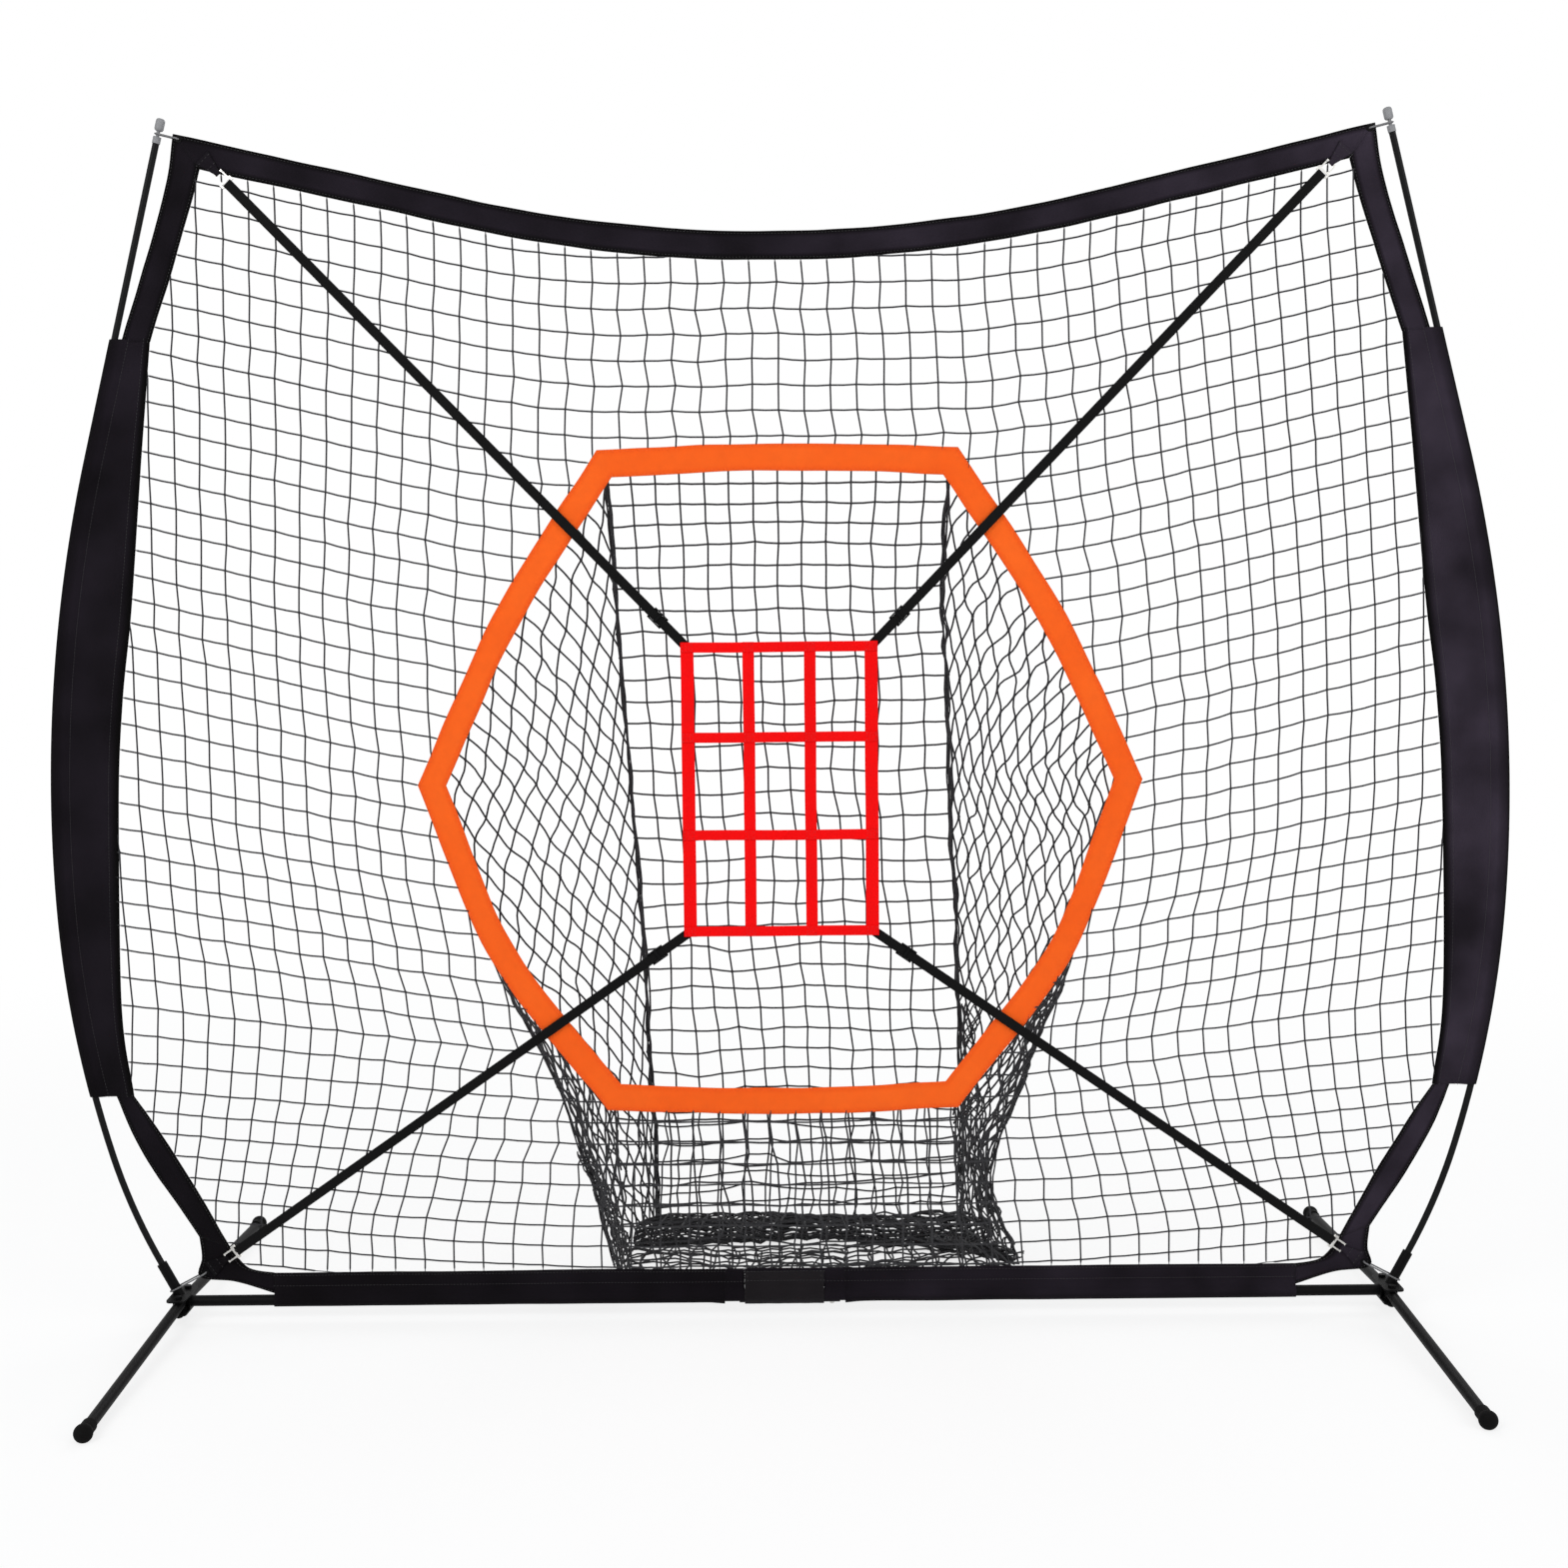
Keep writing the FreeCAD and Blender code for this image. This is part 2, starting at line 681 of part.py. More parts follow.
add("bottom_hem", bottom_hem.removeSplitter())

# The centre flap wraps the coupler and closes on the front of the bottom hem.
flap = rod(flap_radius, vec(flap_start, 0, bar_z), vec(flap_end, 0, bar_z))
flap_front = -fabric_half - flap_wall
flap = flap.fuse(box((flap_start, flap_end), (flap_front, -fabric_half), (bar_z, flap_top)))
add("centre_flap", flap.cut(rod(flap_bore, vec(flap_start, 0, bar_z), vec(flap_end, 0, bar_z))))


# Mouth band: six strips with mitred ends
def inset(points, distance):
    """A convex or nearly convex outline of 2-D points, moved inwards by that distance."""
    area = sum(a[0] * b[1] - b[0] * a[1] for a, b in zip(points, points[1:] + points[:1]))
    turn = 1 if area > 0 else -1
    moved = []
    for k in range(len(points)):
        before, here, after = points[k - 1], points[k], points[(k + 1) % len(points)]
        normals = []
        for a, b in ((before, here), (here, after)):
            length = math.hypot(b[0] - a[0], b[1] - a[1])
            normals.append((-turn * (b[1] - a[1]) / length, turn * (b[0] - a[0]) / length))
        (ax, ay), (bx, by) = normals
        share = distance / (1 + ax * bx + ay * by)
        moved.append((here[0] + (ax + bx) * share, here[1] + (ay + by) * share))
    return moved


def bowed(a, b, bow):
    """The middle of a slanted edge on the right, moved outwards by the bow."""
    dx, dz = b[0] - a[0], b[1] - a[1]
    share = bow / math.hypot(dx, dz)
    return ((a[0] + b[0]) / 2 - dz * share, (a[1] + b[1]) / 2 + dx * share)


mouth_top_corner = (mouth_top_half, mouth_top_z)
mouth_side_corner = (mouth_side_half, mouth_mid_z)
mouth_low_corner = (mouth_top_half, mouth_bottom_z)
mouth_right = [
    mouth_top_corner,
    bowed(mouth_top_corner, mouth_side_corner, mouth_upper_bow),
    mouth_side_corner,
    bowed(mouth_side_corner, mouth_low_corner, mouth_lower_bow),
    mouth_low_corner,
]
mouth_outer = mouth_right + [(-x, z) for x, z in mouth_right[::-1]]
mouth_inner = inset(mouth_outer, mouth_band_width)
# Each strip goes from one corner of the mouth to the next, and a slanted one has a bend.
strips = []
for first, last in ((0, 2), (2, 4), (4, 5), (5, 7), (7, 9), (-1, 0)):
    corners = range(first, last + 1)
    outline = [mouth_outer[k] for k in corners] + [mouth_inner[k] for k in corners[::-1]]
    strips.append(slab(outline, -fabric_half, fabric_half))
add("mouth_band", *strips)


# Netting: flat pieces with square gaps, cut off at a rim
def net_face(outline, outer_wire, pitch, strand, rim, turn, place):
    """A holed face. Outline and gaps are 2-D; place maps a 2-D point to space."""
    inner = polygon_face([vec(x, y, 0) for x, y in inset(outline, rim)])
    size = max(max(abs(x), abs(y)) for x, y in outline) * 1.5
    count = int(size / pitch) + 2
    cosine, sine = math.cos(math.radians(turn)), math.sin(math.radians(turn))
    half = (pitch - strand) / 2
    cells = []
    for i in range(-count, count + 1):
        for j in range(-count, count + 1):
            corners = []
            for du, dv in ((-half, -half), (half, -half), (half, half), (-half, half)):
                u, v = i * pitch + du, j * pitch + dv
                corners.append(vec(u * cosine - v * sine, u * sine + v * cosine, 0))
            if any(inner.BoundBox.isInside(c) for c in corners):
                cells.append(polygon_face(corners))
    gaps = [g for g in Part.makeCompound(cells).common(inner).Faces if g.Area > smallest_gap_area]
    wires = [outer_wire]
    for gap in gaps:
        points = [place(v.Point.x, v.Point.y) for v in gap.OuterWire.OrderedVertexes]
        wires.append(Part.makePolygon(points + [points[0]]))
    return Part.makeFace(wires, "Part::FaceMakerBullseye"), len(gaps)


# The opening that the border leaves for the face net
def right_and_left(points):
    """Edges through the points on the right, and the same on the left."""
    edges = []
    for side in (-1, 1):
        ends = [vec(side * x, 0, z) for x, z in points]
        edges += [line(a, b) for a, b in zip(ends, ends[1:])]
    return edges


opening_edges = list(hem_low)
opening_edges += right_and_left(
    [(inner_corner.x, inner_corner.z), band_bend_inner, sleeve_top_inner]
)
opening_edges += [sleeve_inner, mirrored(sleeve_inner)]
opening_edges += right_and_left(
    [sleeve_low_inner] + low_band_inner + [gusset_top, (bottom_hem_half, bottom_hem_top)]
)
opening_edges.append(
    line(vec(-bottom_hem_half, 0, bottom_hem_top), vec(bottom_hem_half, 0, bottom_hem_top))
)
opening = Part.Face(Part.Wire(Part.sortEdges(opening_edges)[0]))
mouth = polygon_face([vec(x, 0, z) for x, z in mouth_outer])
net_area = opening.cut(mouth)


def face_net(x_range, z_range):
    area = polygon_face([
        vec(x_range[0], 0, z_range[0]),
        vec(x_range[1], 0, z_range[0]),
        vec(x_range[1], 0, z_range[1]),
        vec(x_range[0], 0, z_range[1]),
    ])
    sector = net_area.common(area).Faces[0]
    outline = []
    for edge in sector.OuterWire.OrderedEdges:
        points = edge.discretize(2 if edge.Curve.TypeId == "Part::GeomLine" else 8)
        if edge.Orientation == "Reversed":
            points = points[::-1]
        outline += [(p.x, p.z) for p in points[:-1]]
    face, count = net_face(
        outline, sector.OuterWire, face_pitch, face_strand, face_rim, 0, lambda x, z: vec(x, 0, z)
    )
    face.translate(vec(0, -net_half, 0))
    return face.extrude(vec(0, 2 * net_half, 0)), count


top_net, top_count = face_net((-mouth_top_half, mouth_top_half), (mouth_mid_z, high))
bottom_net, bottom_count = face_net((-mouth_top_half, mouth_top_half), (0, mouth_mid_z))
upper_net, upper_count = face_net((mouth_top_half, far), (mouth_mid_z, high))
lower_net, lower_count = face_net((mouth_top_half, far), (0, mouth_mid_z))
add("face_net_top", top_net)
add("face_net_bottom", bottom_net)
add_pair("face_net_upper", upper_net)
add_pair("face_net_lower", lower_net)
face_count = top_count + bottom_count + 2 * (upper_count + lower_count)

# Pocket netting: flat pieces that meet at the pocket's folds
mouth_middle = inset(mouth_outer, mouth_band_width / 2)
pocket_y = fabric_half + pocket_gap_behind_band + pocket_half
mouth_fold = [vec(x, pocket_y, z) for x, z in mouth_middle]
fold_right, fold_left = mouth_fold[:5], mouth_fold[:4:-1]
pocket_counts = []


def pocket_panel(points, seam, turn):
    """A flat net between points in space, smaller than they are by the seam."""
    base = points[0]
    along = (points[1] - base).normalize()
    normal = along.cross(points[-1] - base).normalize()
    across = normal.cross(along)
    flat_points = [((p - base).dot(along), (p - base).dot(across)) for p in points]
    outline = inset(flat_points, seam)

    def place(u, v):
        return base + along * u + across * v

    corners = [place(u, v) for u, v in outline]
    outer = Part.makePolygon(corners + [corners[0]])
    face, count = net_face(outline, outer, pocket_pitch, pocket_strand, pocket_rim, turn, place)
    pocket_counts.append(count)
    face.translate(normal * -pocket_half)
    return face.extrude(normal * (2 * pocket_half))


back_left, back_right = [fold_left[0]], [fold_right[0]]
for height, depth, left_x, right_x in pocket_back:
    back_left.append(vec(left_x, depth, height))
    back_right.append(vec(right_x, depth, height))
back_panels = []
for k in range(len(pocket_back)):
    corners = [back_left[k + 1], back_right[k + 1], back_right[k], back_left[k]]
    back_panels.append(pocket_panel(corners, back_seam, 0))
add("pocket_back_net", *back_panels)

right_ends = (pocket_bulge_right, pocket_ground_right, pocket_front_right)
left_ends = (pocket_bulge_left, pocket_ground_left, pocket_front_left)
for name, back, fold, ends, front_seam in (
    ("right", back_right, fold_right, right_ends, sharp_seam),
    ("left", back_left, fold_left, left_ends, back_seam),
):
    bulge, ground, front = [vec(*end) for end in ends]
    panels = [
        ([fold[1], back[0], back[1]], side_seam),
        ([fold[1], back[1], back[2]], side_seam),
        ([fold[2], fold[1], back[2]], side_seam),
        ([fold[2], back[2], back[3]], side_seam),
        ([fold[2], back[3], bulge], side_seam),
        ([bulge, back[3], back[4]], side_seam),
        ([bulge, back[4], ground], side_seam),
        ([ground, back[4], back[5]], side_seam),
        ([fold[2], bulge, fold[3]], sharp_seam),
        ([fold[3], bulge, fold[4]], back_seam),
        ([fold[4], bulge, front], side_seam),
        ([bulge, ground, front], front_seam),
    ]
    add("pocket_side_net_" + name, *[pocket_panel(points, seam, 45) for points, seam in panels])

front_right, front_left = vec(*pocket_front_right), vec(*pocket_front_left)
front_panel = pocket_panel([front_left, front_right, fold_right[4], fold_left[4]], back_seam, 0)

# The bunched netting on the ground, with the panel in front that joins it to the mouth
pile_outline = [
    pocket_front_left[:2],
    pocket_front_right[:2],
    pocket_ground_right[:2],
    (back_right[-1].x, back_right[-1].y),
    (back_left[-1].x, back_left[-1].y),
    pocket_ground_left[:2],
]
pile_points = [vec(x, y, pile_low) for x, y in inset(pile_outline, back_seam)]
pile = polygon_face(pile_points).extrude(vec(0, 0, pile_top - pile_low))
fold_points = [vec(x, y, pile_low) for x, y in inset(pile_outline, fold_inset)]
fold_room = polygon_face(fold_points).extrude(vec(0, 0, high))
for start, end, radius in pile_folds:
    fold = rod(radius, vec(*start, 0), vec(*end, 0))
    pile = pile.fuse(fold.common(fold_room))
add("pocket_floor_net", front_panel, pile.removeSplitter())

# Target, in front of the straps that hold it
strap_front = -strap_plane - strap_thickness / 2
uprights_y = (strap_front - target_strap_thickness, strap_front)
rungs_y = (uprights_y[0] - target_strap_thickness, uprights_y[0])
outer_upright_x = target_half_width - outer_upright_width / 2
uprights = []
for x, width in (
    (-outer_upright_x, outer_upright_width),
    (-inner_upright_x, inner_upright_width),
    (inner_upright_x, inner_upright_width),
    (outer_upright_x, outer_upright_width),
):
    uprights.append(box((x - width / 2, x + width / 2), uprights_y, (target_bottom, target_top)))
add("target_uprights", *uprights)
rung_heights = [target_top - rung_width / 2] + inner_rung_heights + [target_bottom + rung_width / 2]
rungs = []
for z in rung_heights:
    rungs.append(
        box(
            (-target_half_width, target_half_width),
            rungs_y,
            (z - rung_width / 2, z + rung_width / 2),
        )
    )
add("target_rungs", *rungs)

# Straps, hooks, gates, tabs and adjusters are made along +X with the hook's eye bar at the
# origin, +Z across the strap and -Y to the front, then turned to the strap's direction.
loop_inner = hook_bar_radius + loop_fit
loop_outer = loop_inner + loop_wall


def webbing_loop(x, half_width):
    start, end = vec(x, 0, -half_width), vec(x, 0, half_width)
    return rod(loop_outer, start, end), rod(loop_inner, start, end)


def strap(length):
    band = box(
        (-length, 0),
        (-strap_thickness / 2, strap_thickness / 2),
        (-strap_width / 2, strap_width / 2),
    )
    loop, bore = webbing_loop(0, strap_width / 2)
    return band.fuse(loop).cut(bore)


def hook_plate(x_range, z_range):
    return box(x_range, (-hook_half_thickness, hook_half_thickness), z_range)


pin_z = hook_nose_half_width - hook_side / 2
nose_tip = hook_length - loop_outer - loop_fit
strap_side = strap_width / 2 + loop_fit
eye_far = hook_eye_length - hook_side
eye = [
    rod(hook_bar_radius, vec(0, 0, -hook_half_width), vec(0, 0, hook_half_width)),
    hook_plate((0, hook_eye_length), (strap_side, hook_half_width)),
    hook_plate((0, hook_eye_length), (-hook_half_width, -strap_side)),
    hook_plate((eye_far, hook_eye_length), (-hook_half_width, hook_half_width)),
]
spine = hook_plate((eye_far, hook_length), (-hook_nose_half_width, hook_side - hook_nose_half_width))
nose = [
    rod(hook_bar_radius, vec(hook_length, 0, -hook_nose_half_width),
        vec(hook_length, 0, hook_nose_half_width)),
    hook_plate((nose_tip, hook_length), (hook_nose_half_width - hook_side, hook_nose_half_width)),
]
lug_end = gate_start + hook_side / 2
lug = hook_plate((eye_far, lug_end), (hook_nose_half_width - hook_side, hook_nose_half_width))
slot_start = gate_start - gate_half_width - gate_side_gap
slot_low = pin_z - gate_half_width - gate_side_gap
slot = box((slot_start, lug_end), (-gate_slot_half, gate_slot_half), (slot_low, far))
pin_front = vec(gate_start, -hook_half_thickness, pin_z)
pin_back = vec(gate_start, hook_half_thickness, pin_z)
hook = eye[0].multiFuse(eye[1:] + [spine, lug] + nose).cut(slot)
hook = hook.fuse(rod(gate_pin_radius, pin_front, pin_back))

gate_end = nose_tip - gate_side_gap
gate = box(
    (gate_start, gate_end),
    (-gate_half_thickness, gate_half_thickness),
    (pin_z - gate_half_width, pin_z + gate_half_width),
)
gate = gate.fuse(rod(gate_half_width, vec(gate_start, -gate_half_thickness, pin_z),
                     vec(gate_start, gate_half_thickness, pin_z)))
gate = gate.cut(rod(gate_pin_radius + gate_fit, pin_front, pin_back))

tab_loop, tab_bore = webbing_loop(hook_length, tab_half_width)
tab_flare = hook_length + loop_outer
tab_front, tab_back = strap_plane - fabric_half - strap_thickness, strap_plane - fabric_half
tab = slab(
    [
        (hook_length, -tab_half_width),
        (tab_flare, -tab_half_width),
        (tab_end, -tab_end_half_width),
        (tab_end, tab_end_half_width),
        (tab_flare, tab_half_width),
        (hook_length, tab_half_width),
    ],
    tab_front,
    tab_back,
)
tab = tab.fuse(tab_loop).cut(tab_bore)

slider_half = strap_thickness / 2 + adjuster_fit
slider_side = strap_width / 2 + adjuster_fit
slider_half_length = adjuster_length / 2
slider_outer = slider_half + adjuster_thickness
adjuster = [
    box((-slider_half_length, slider_half_length), (-slider_outer, slider_outer),
        (slider_side, slider_side + adjuster_rail)),
    box((-slider_half_length, slider_half_length), (-slider_outer, slider_outer),
        (-slider_side - adjuster_rail, -slider_side)),
    box((-adjuster_bar / 2, adjuster_bar / 2), (-slider_outer, -slider_half), (-slider_side, slider_side)),
]
for x in (-slider_half_length, slider_half_length - adjuster_bar):
    adjuster.append(box((x, x + adjuster_bar), (slider_half, slider_outer), (-slider_side, slider_side)))
adjuster = adjuster[0].multiFuse(adjuster[1:]).removeSplitter()

straps, hooks, tabs = [], [], []
for level, strap_end, corner_z in (
    ("upper", upper_strap_end, rung_heights[0]),
    ("lower", lower_strap_end, rung_heights[-1]),
):
    dx, dz = strap_end[0] - outer_upright_x, strap_end[1] - corner_z
    length = math.hypot(dx, dz)
    angle = -math.degrees(math.atan2(dz, dx))
    side = 1 if level == "upper" else -1

    def placed(shape, x=0.0):
        """Moves a shape along the strap and turns it into place at the right."""
        moved = shape.copy() if side > 0 else shape.mirror(origin, z_axis)
        moved.translate(vec(x, 0, 0))
        moved = tilted(moved, angle, *strap_end)
        moved.translate(vec(0, -strap_plane, 0))
        return moved

    for right, group in ((placed(strap(length)), straps), (placed(hook), hooks), (placed(tab), tabs)):
        group += [right, mirrored(right)]
    add_pair(f"snap_gate_{level}", placed(gate))
    add_pair(f"slide_adjuster_{level}", placed(adjuster, adjuster_from_corner - length))
    pin = placed(Part.Vertex(gate_start, 0, pin_z)).Point
    print(f"{level} strap: length {length:.1f}, direction {dx / length:.5f} {dz / length:.5f}, "
          f"gate pin {pin.x:.3f} {pin.y:.3f} {pin.z:.3f}")
add("hanging_straps", *straps)
add("snap_hooks", *hooks)
add("corner_tabs", *tabs)

os.makedirs("parts", exist_ok=True)
for name, shape in nodes.items():
    shape.exportStep(f"parts/{name}.step")

tip = pole_place(pole_end)[0]
print(f"{len(nodes)} nodes; face net gaps {face_count}; pocket net gaps {sum(pocket_counts)}")
print(f"pole tip {tip.x:.1f} {tip.z:.1f}; outer corner {outer_corner.z:.1f}")
for k, place in enumerate(eyelet_places):
    print(f"eyelet {k}: {place.x:.1f} {place.z:.1f}")
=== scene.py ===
import json
import math
import bpy
import bmesh
from mathutils import Matrix, Vector, noise


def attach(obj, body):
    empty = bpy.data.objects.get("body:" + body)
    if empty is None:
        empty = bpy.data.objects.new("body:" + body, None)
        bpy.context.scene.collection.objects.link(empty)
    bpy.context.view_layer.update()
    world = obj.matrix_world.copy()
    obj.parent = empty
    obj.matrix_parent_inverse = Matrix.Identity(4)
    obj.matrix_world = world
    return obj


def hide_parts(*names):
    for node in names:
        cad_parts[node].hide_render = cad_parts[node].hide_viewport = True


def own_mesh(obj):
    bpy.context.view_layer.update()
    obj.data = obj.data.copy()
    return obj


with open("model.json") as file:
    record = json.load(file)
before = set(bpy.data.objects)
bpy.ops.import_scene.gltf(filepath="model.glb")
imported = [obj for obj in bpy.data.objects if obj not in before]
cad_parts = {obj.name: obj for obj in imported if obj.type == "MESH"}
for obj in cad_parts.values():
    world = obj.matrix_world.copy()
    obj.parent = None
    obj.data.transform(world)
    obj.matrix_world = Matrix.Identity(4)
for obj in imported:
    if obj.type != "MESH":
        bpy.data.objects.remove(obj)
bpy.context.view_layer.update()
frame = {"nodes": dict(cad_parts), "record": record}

nodes = frame["nodes"]
scene = bpy.context.scene
scene.view_settings.view_transform = "Standard"
print("frame loaded:", len(nodes), "nodes")

# Camera, lights and floor
view = {"across": 0.0055, "distance": 3.0, "height": 1.065, "pitchDown": 5.11, "roll": -0.54, "lens": 47.33}
camera = bpy.data.objects.new("camera", bpy.data.cameras.new("camera"))
camera.data.lens = view["lens"]
camera.data.sensor_width = 36.0
camera.matrix_world = (
    Matrix.Translation((view["across"], -view["distance"], view["height"]))
    @ Matrix.Rotation(math.radians(90.0 - view["pitchDown"]), 4, "X")
    @ Matrix.Rotation(math.radians(view["roll"]), 4, "Z")
)
scene.collection.objects.link(camera)
scene.camera = camera


def areaLight(name, place, aim, size, power):
    lamp = bpy.data.lights.new(name, "AREA")
    lamp.shape = "DISK"
    lamp.size = size
    lamp.energy = power
    light = bpy.data.objects.new(name, lamp)
    light.location = place
    light.rotation_euler = (Vector(aim) - Vector(place)).to_track_quat("-Z", "Y").to_euler()
    scene.collection.objects.link(light)


areaLight("keyLight", (-2.6, -3.4, 3.6), (0.0, 0.0, 0.8), 2.6, 95.0)
areaLight("fillLight", (3.2, -2.6, 2.2), (0.0, 0.0, 0.8), 2.4, 45.0)
areaLight("backLight", (0.6, 3.0, 3.2), (0.0, 0.0, 0.8), 2.2, 45.0)


def feed(tree, socket, value):
    if isinstance(value, bpy.types.NodeSocket):
        tree.links.new(value, socket)
    elif value is not None:
        socket.default_value = value


def addNode(tree, kind, feeds=(), **settings):
    made = tree.nodes.new(kind)
    for key, value in settings.items():
        setattr(made, key, value)
    for key, value in dict(feeds).items():
        feed(tree, made.inputs[key], value)
    return made


def calc(tree, operation, *values):
    return addNode(tree, "ShaderNodeMath", enumerate(values), operation=operation).outputs[0]


def mixColour(tree, factor, first, second):
    return addNode(tree, "ShaderNodeMix", {0: factor, 6: first, 7: second}, data_type="RGBA").outputs[2]


def seenDirectly(tree):
    path = addNode(tree, "ShaderNodeLightPath")
    seen = calc(tree, "MAXIMUM", path.outputs["Is Camera Ray"], path.outputs["Is Glossy Ray"])
    return calc(tree, "MAXIMUM", seen, path.outputs["Is Transmission Ray"])


def mixShader(tree, factor, first, second, output):
    made = addNode(tree, "ShaderNodeMixShader", {0: factor, 1: first.outputs[0], 2: second.outputs[0]})
    addNode(tree, output, {"Surface": made.outputs[0]})


def emptyTree(owner):
    owner.use_nodes = True
    owner.node_tree.nodes.clear()
    return owner.node_tree


studio = {"ambient": 0.62, "floorHalf": 30.0, "floorWhite": 0.78, "whiteFrom": 1.3, "whiteTo": 3.6}
scene.world = bpy.data.worlds.new("studio")
sky = emptyTree(scene.world)
coolWhite, pureWhite, floorGrey = (0.96, 0.98, 1.0, 1.0), (1.0, 1.0, 1.0, 1.0), (0.93, 0.93, 0.93, 1.0)
ambient = addNode(sky, "ShaderNodeBackground", {"Color": coolWhite, "Strength": studio["ambient"]})
white = addNode(sky, "ShaderNodeBackground", {"Color": pureWhite})
mixShader(sky, seenDirectly(sky), ambient, white, "ShaderNodeOutputWorld")

floorMaterial = bpy.data.materials.new("paleFloor")
floorTree = emptyTree(floorMaterial)
matte = addNode(floorTree, "ShaderNodeBsdfDiffuse", {"Color": floorGrey})
glow = addNode(floorTree, "ShaderNodeEmission")
# The floor turns to the background's white away from the net.
spot = addNode(floorTree, "ShaderNodeTexCoord").outputs["Object"]
away = addNode(floorTree, "ShaderNodeVectorMath", {0: spot}, operation="LENGTH")
fade = addNode(floorTree, "ShaderNodeMapRange", {
    "Value": away.outputs["Value"], "From Min": studio["whiteFrom"], "From Max": studio["whiteTo"],
    "To Min": studio["floorWhite"],
}, interpolation_type="SMOOTHSTEP")
whiteShare = calc(floorTree, "MULTIPLY", seenDirectly(floorTree), fade.outputs[0])
mixShader(floorTree, whiteShare, matte, glow, "ShaderNodeOutputMaterial")
half = studio["floorHalf"]
floorMesh = bpy.data.meshes.new("floor")
corners = [(-half, -half, 0), (half, -half, 0), (half, half, 0), (-half, half, 0)]
floorMesh.from_pydata(corners, [], [(0, 1, 2, 3)])
floor = bpy.data.objects.new("floor", floorMesh)
floor.data.materials.append(floorMaterial)
scene.collection.objects.link(floor)
print("camera, light and floor made")


# Shared shader effects
def addSockets(tree, inputs):
    for label, kind, value in inputs:
        socket = tree.interface.new_socket(label, in_out="INPUT", socket_type="NodeSocket" + kind)
        if value is not None:
            socket.default_value = value


def shaderGroup(name, inputs, outputs):
    tree = bpy.data.node_groups.new(name, "ShaderNodeTree")
    addSockets(tree, (("Vector", "Vector", None), *inputs))
    for label in outputs:
        tree.interface.new_socket(label, in_out="OUTPUT", socket_type="NodeSocketFloat")
    return tree, addNode(tree, "NodeGroupInput").outputs, addNode(tree, "NodeGroupOutput").inputs


def splitVector(tree, vector):
    return addNode(tree, "ShaderNodeSeparateXYZ", {0: vector}).outputs


def bumpyWave(tree, value):
    return calc(tree, "ABSOLUTE", calc(tree, "SINE", calc(tree, "MULTIPLY", value, math.pi)))


# Plain weave: threads that go over and under one another
weave, taken, given = shaderGroup(
    "plainWeave", (("Threads Along", "Float", 1400.0), ("Threads Across", "Float", 1400.0)),
    ("Height", "Shade"),
)
u, v = splitVector(weave, taken["Vector"])[:2]
u = calc(weave, "MULTIPLY", u, taken["Threads Along"])
v = calc(weave, "MULTIPLY", v, taken["Threads Across"])
cell = calc(weave, "ADD", calc(weave, "FLOOR", u), calc(weave, "FLOOR", v))
over = calc(weave, "FLOORED_MODULO", cell, 2.0)
warpThread = calc(weave, "MULTIPLY", bumpyWave(weave, u), over)
weftThread = calc(weave, "MULTIPLY", bumpyWave(weave, v), calc(weave, "SUBTRACT", 1.0, over))
height = calc(weave, "ADD", warpThread, weftThread)
weave.links.new(height, given["Height"])
weave.links.new(calc(weave, "MULTIPLY_ADD", height, 0.3, 0.7), given["Shade"])

# Webbing: slanted ribs that turn back on each other across the strap
ribs, taken, given = shaderGroup(
    "webbingRibs", (("Ribs", "Float", 620.0), ("Chevrons", "Float", 210.0)), ("Height", "Shade")
)
u, v = splitVector(ribs, taken["Vector"])[:2]
zigzag = calc(ribs, "PINGPONG", calc(ribs, "MULTIPLY", v, taken["Chevrons"]), 1.0)
slanted = calc(ribs, "ADD", calc(ribs, "MULTIPLY", u, taken["Ribs"]), zigzag)
height = bumpyWave(ribs, slanted)
ribs.links.new(height, given["Height"])
ribs.links.new(calc(ribs, "MULTIPLY_ADD", height, 0.35, 0.65), given["Shade"])

# Uneven tone: a fine one and a broad one
mottle, taken, given = shaderGroup("unevenTone", (("Scale", "Float", 60.0),), ("Fine", "Broad"))
for label, share, detail in (("Fine", 1.0, 5.0), ("Broad", 0.14, 2.0)):
    scale = calc(mottle, "MULTIPLY", taken["Scale"], share)
    feeds = {"Vector": taken["Vector"], "Scale": scale, "Detail": detail}
    cloud = addNode(mottle, "ShaderNodeTexNoise", feeds)
    mottle.links.new(cloud.outputs["Fac"], given[label])

# Scuffs: sparse thin marks
scuffs, taken, given = shaderGroup(
    "scuffMarks", (("Scale", "Float", 40.0), ("Amount", "Float", 0.3)), ("Mask",)
)
drawnOut = addNode(scuffs, "ShaderNodeMapping", {"Vector": taken["Vector"], "Scale": (1.0, 0.35, 3.0)})
marks = addNode(scuffs, "ShaderNodeTexNoise", {
    "Vector": drawnOut.outputs[0], "Scale": taken["Scale"], "Detail": 8.0, "Roughness": 0.75,
})
edge = calc(scuffs, "SUBTRACT", 0.95, calc(scuffs, "MULTIPLY", taken["Amount"], 0.5))
sharp = calc(scuffs, "MULTIPLY", calc(scuffs, "SUBTRACT", marks.outputs["Fac"], edge), 14.0)
scuffs.links.new(calc(scuffs, "MINIMUM", calc(scuffs, "MAXIMUM", sharp, 0.0), 1.0), given["Mask"])


# Materials
def placeGroup(tree, group, vector, values):
    return addNode(tree, "ShaderNodeGroup", {"Vector": vector, **values}, node_tree=group).outputs


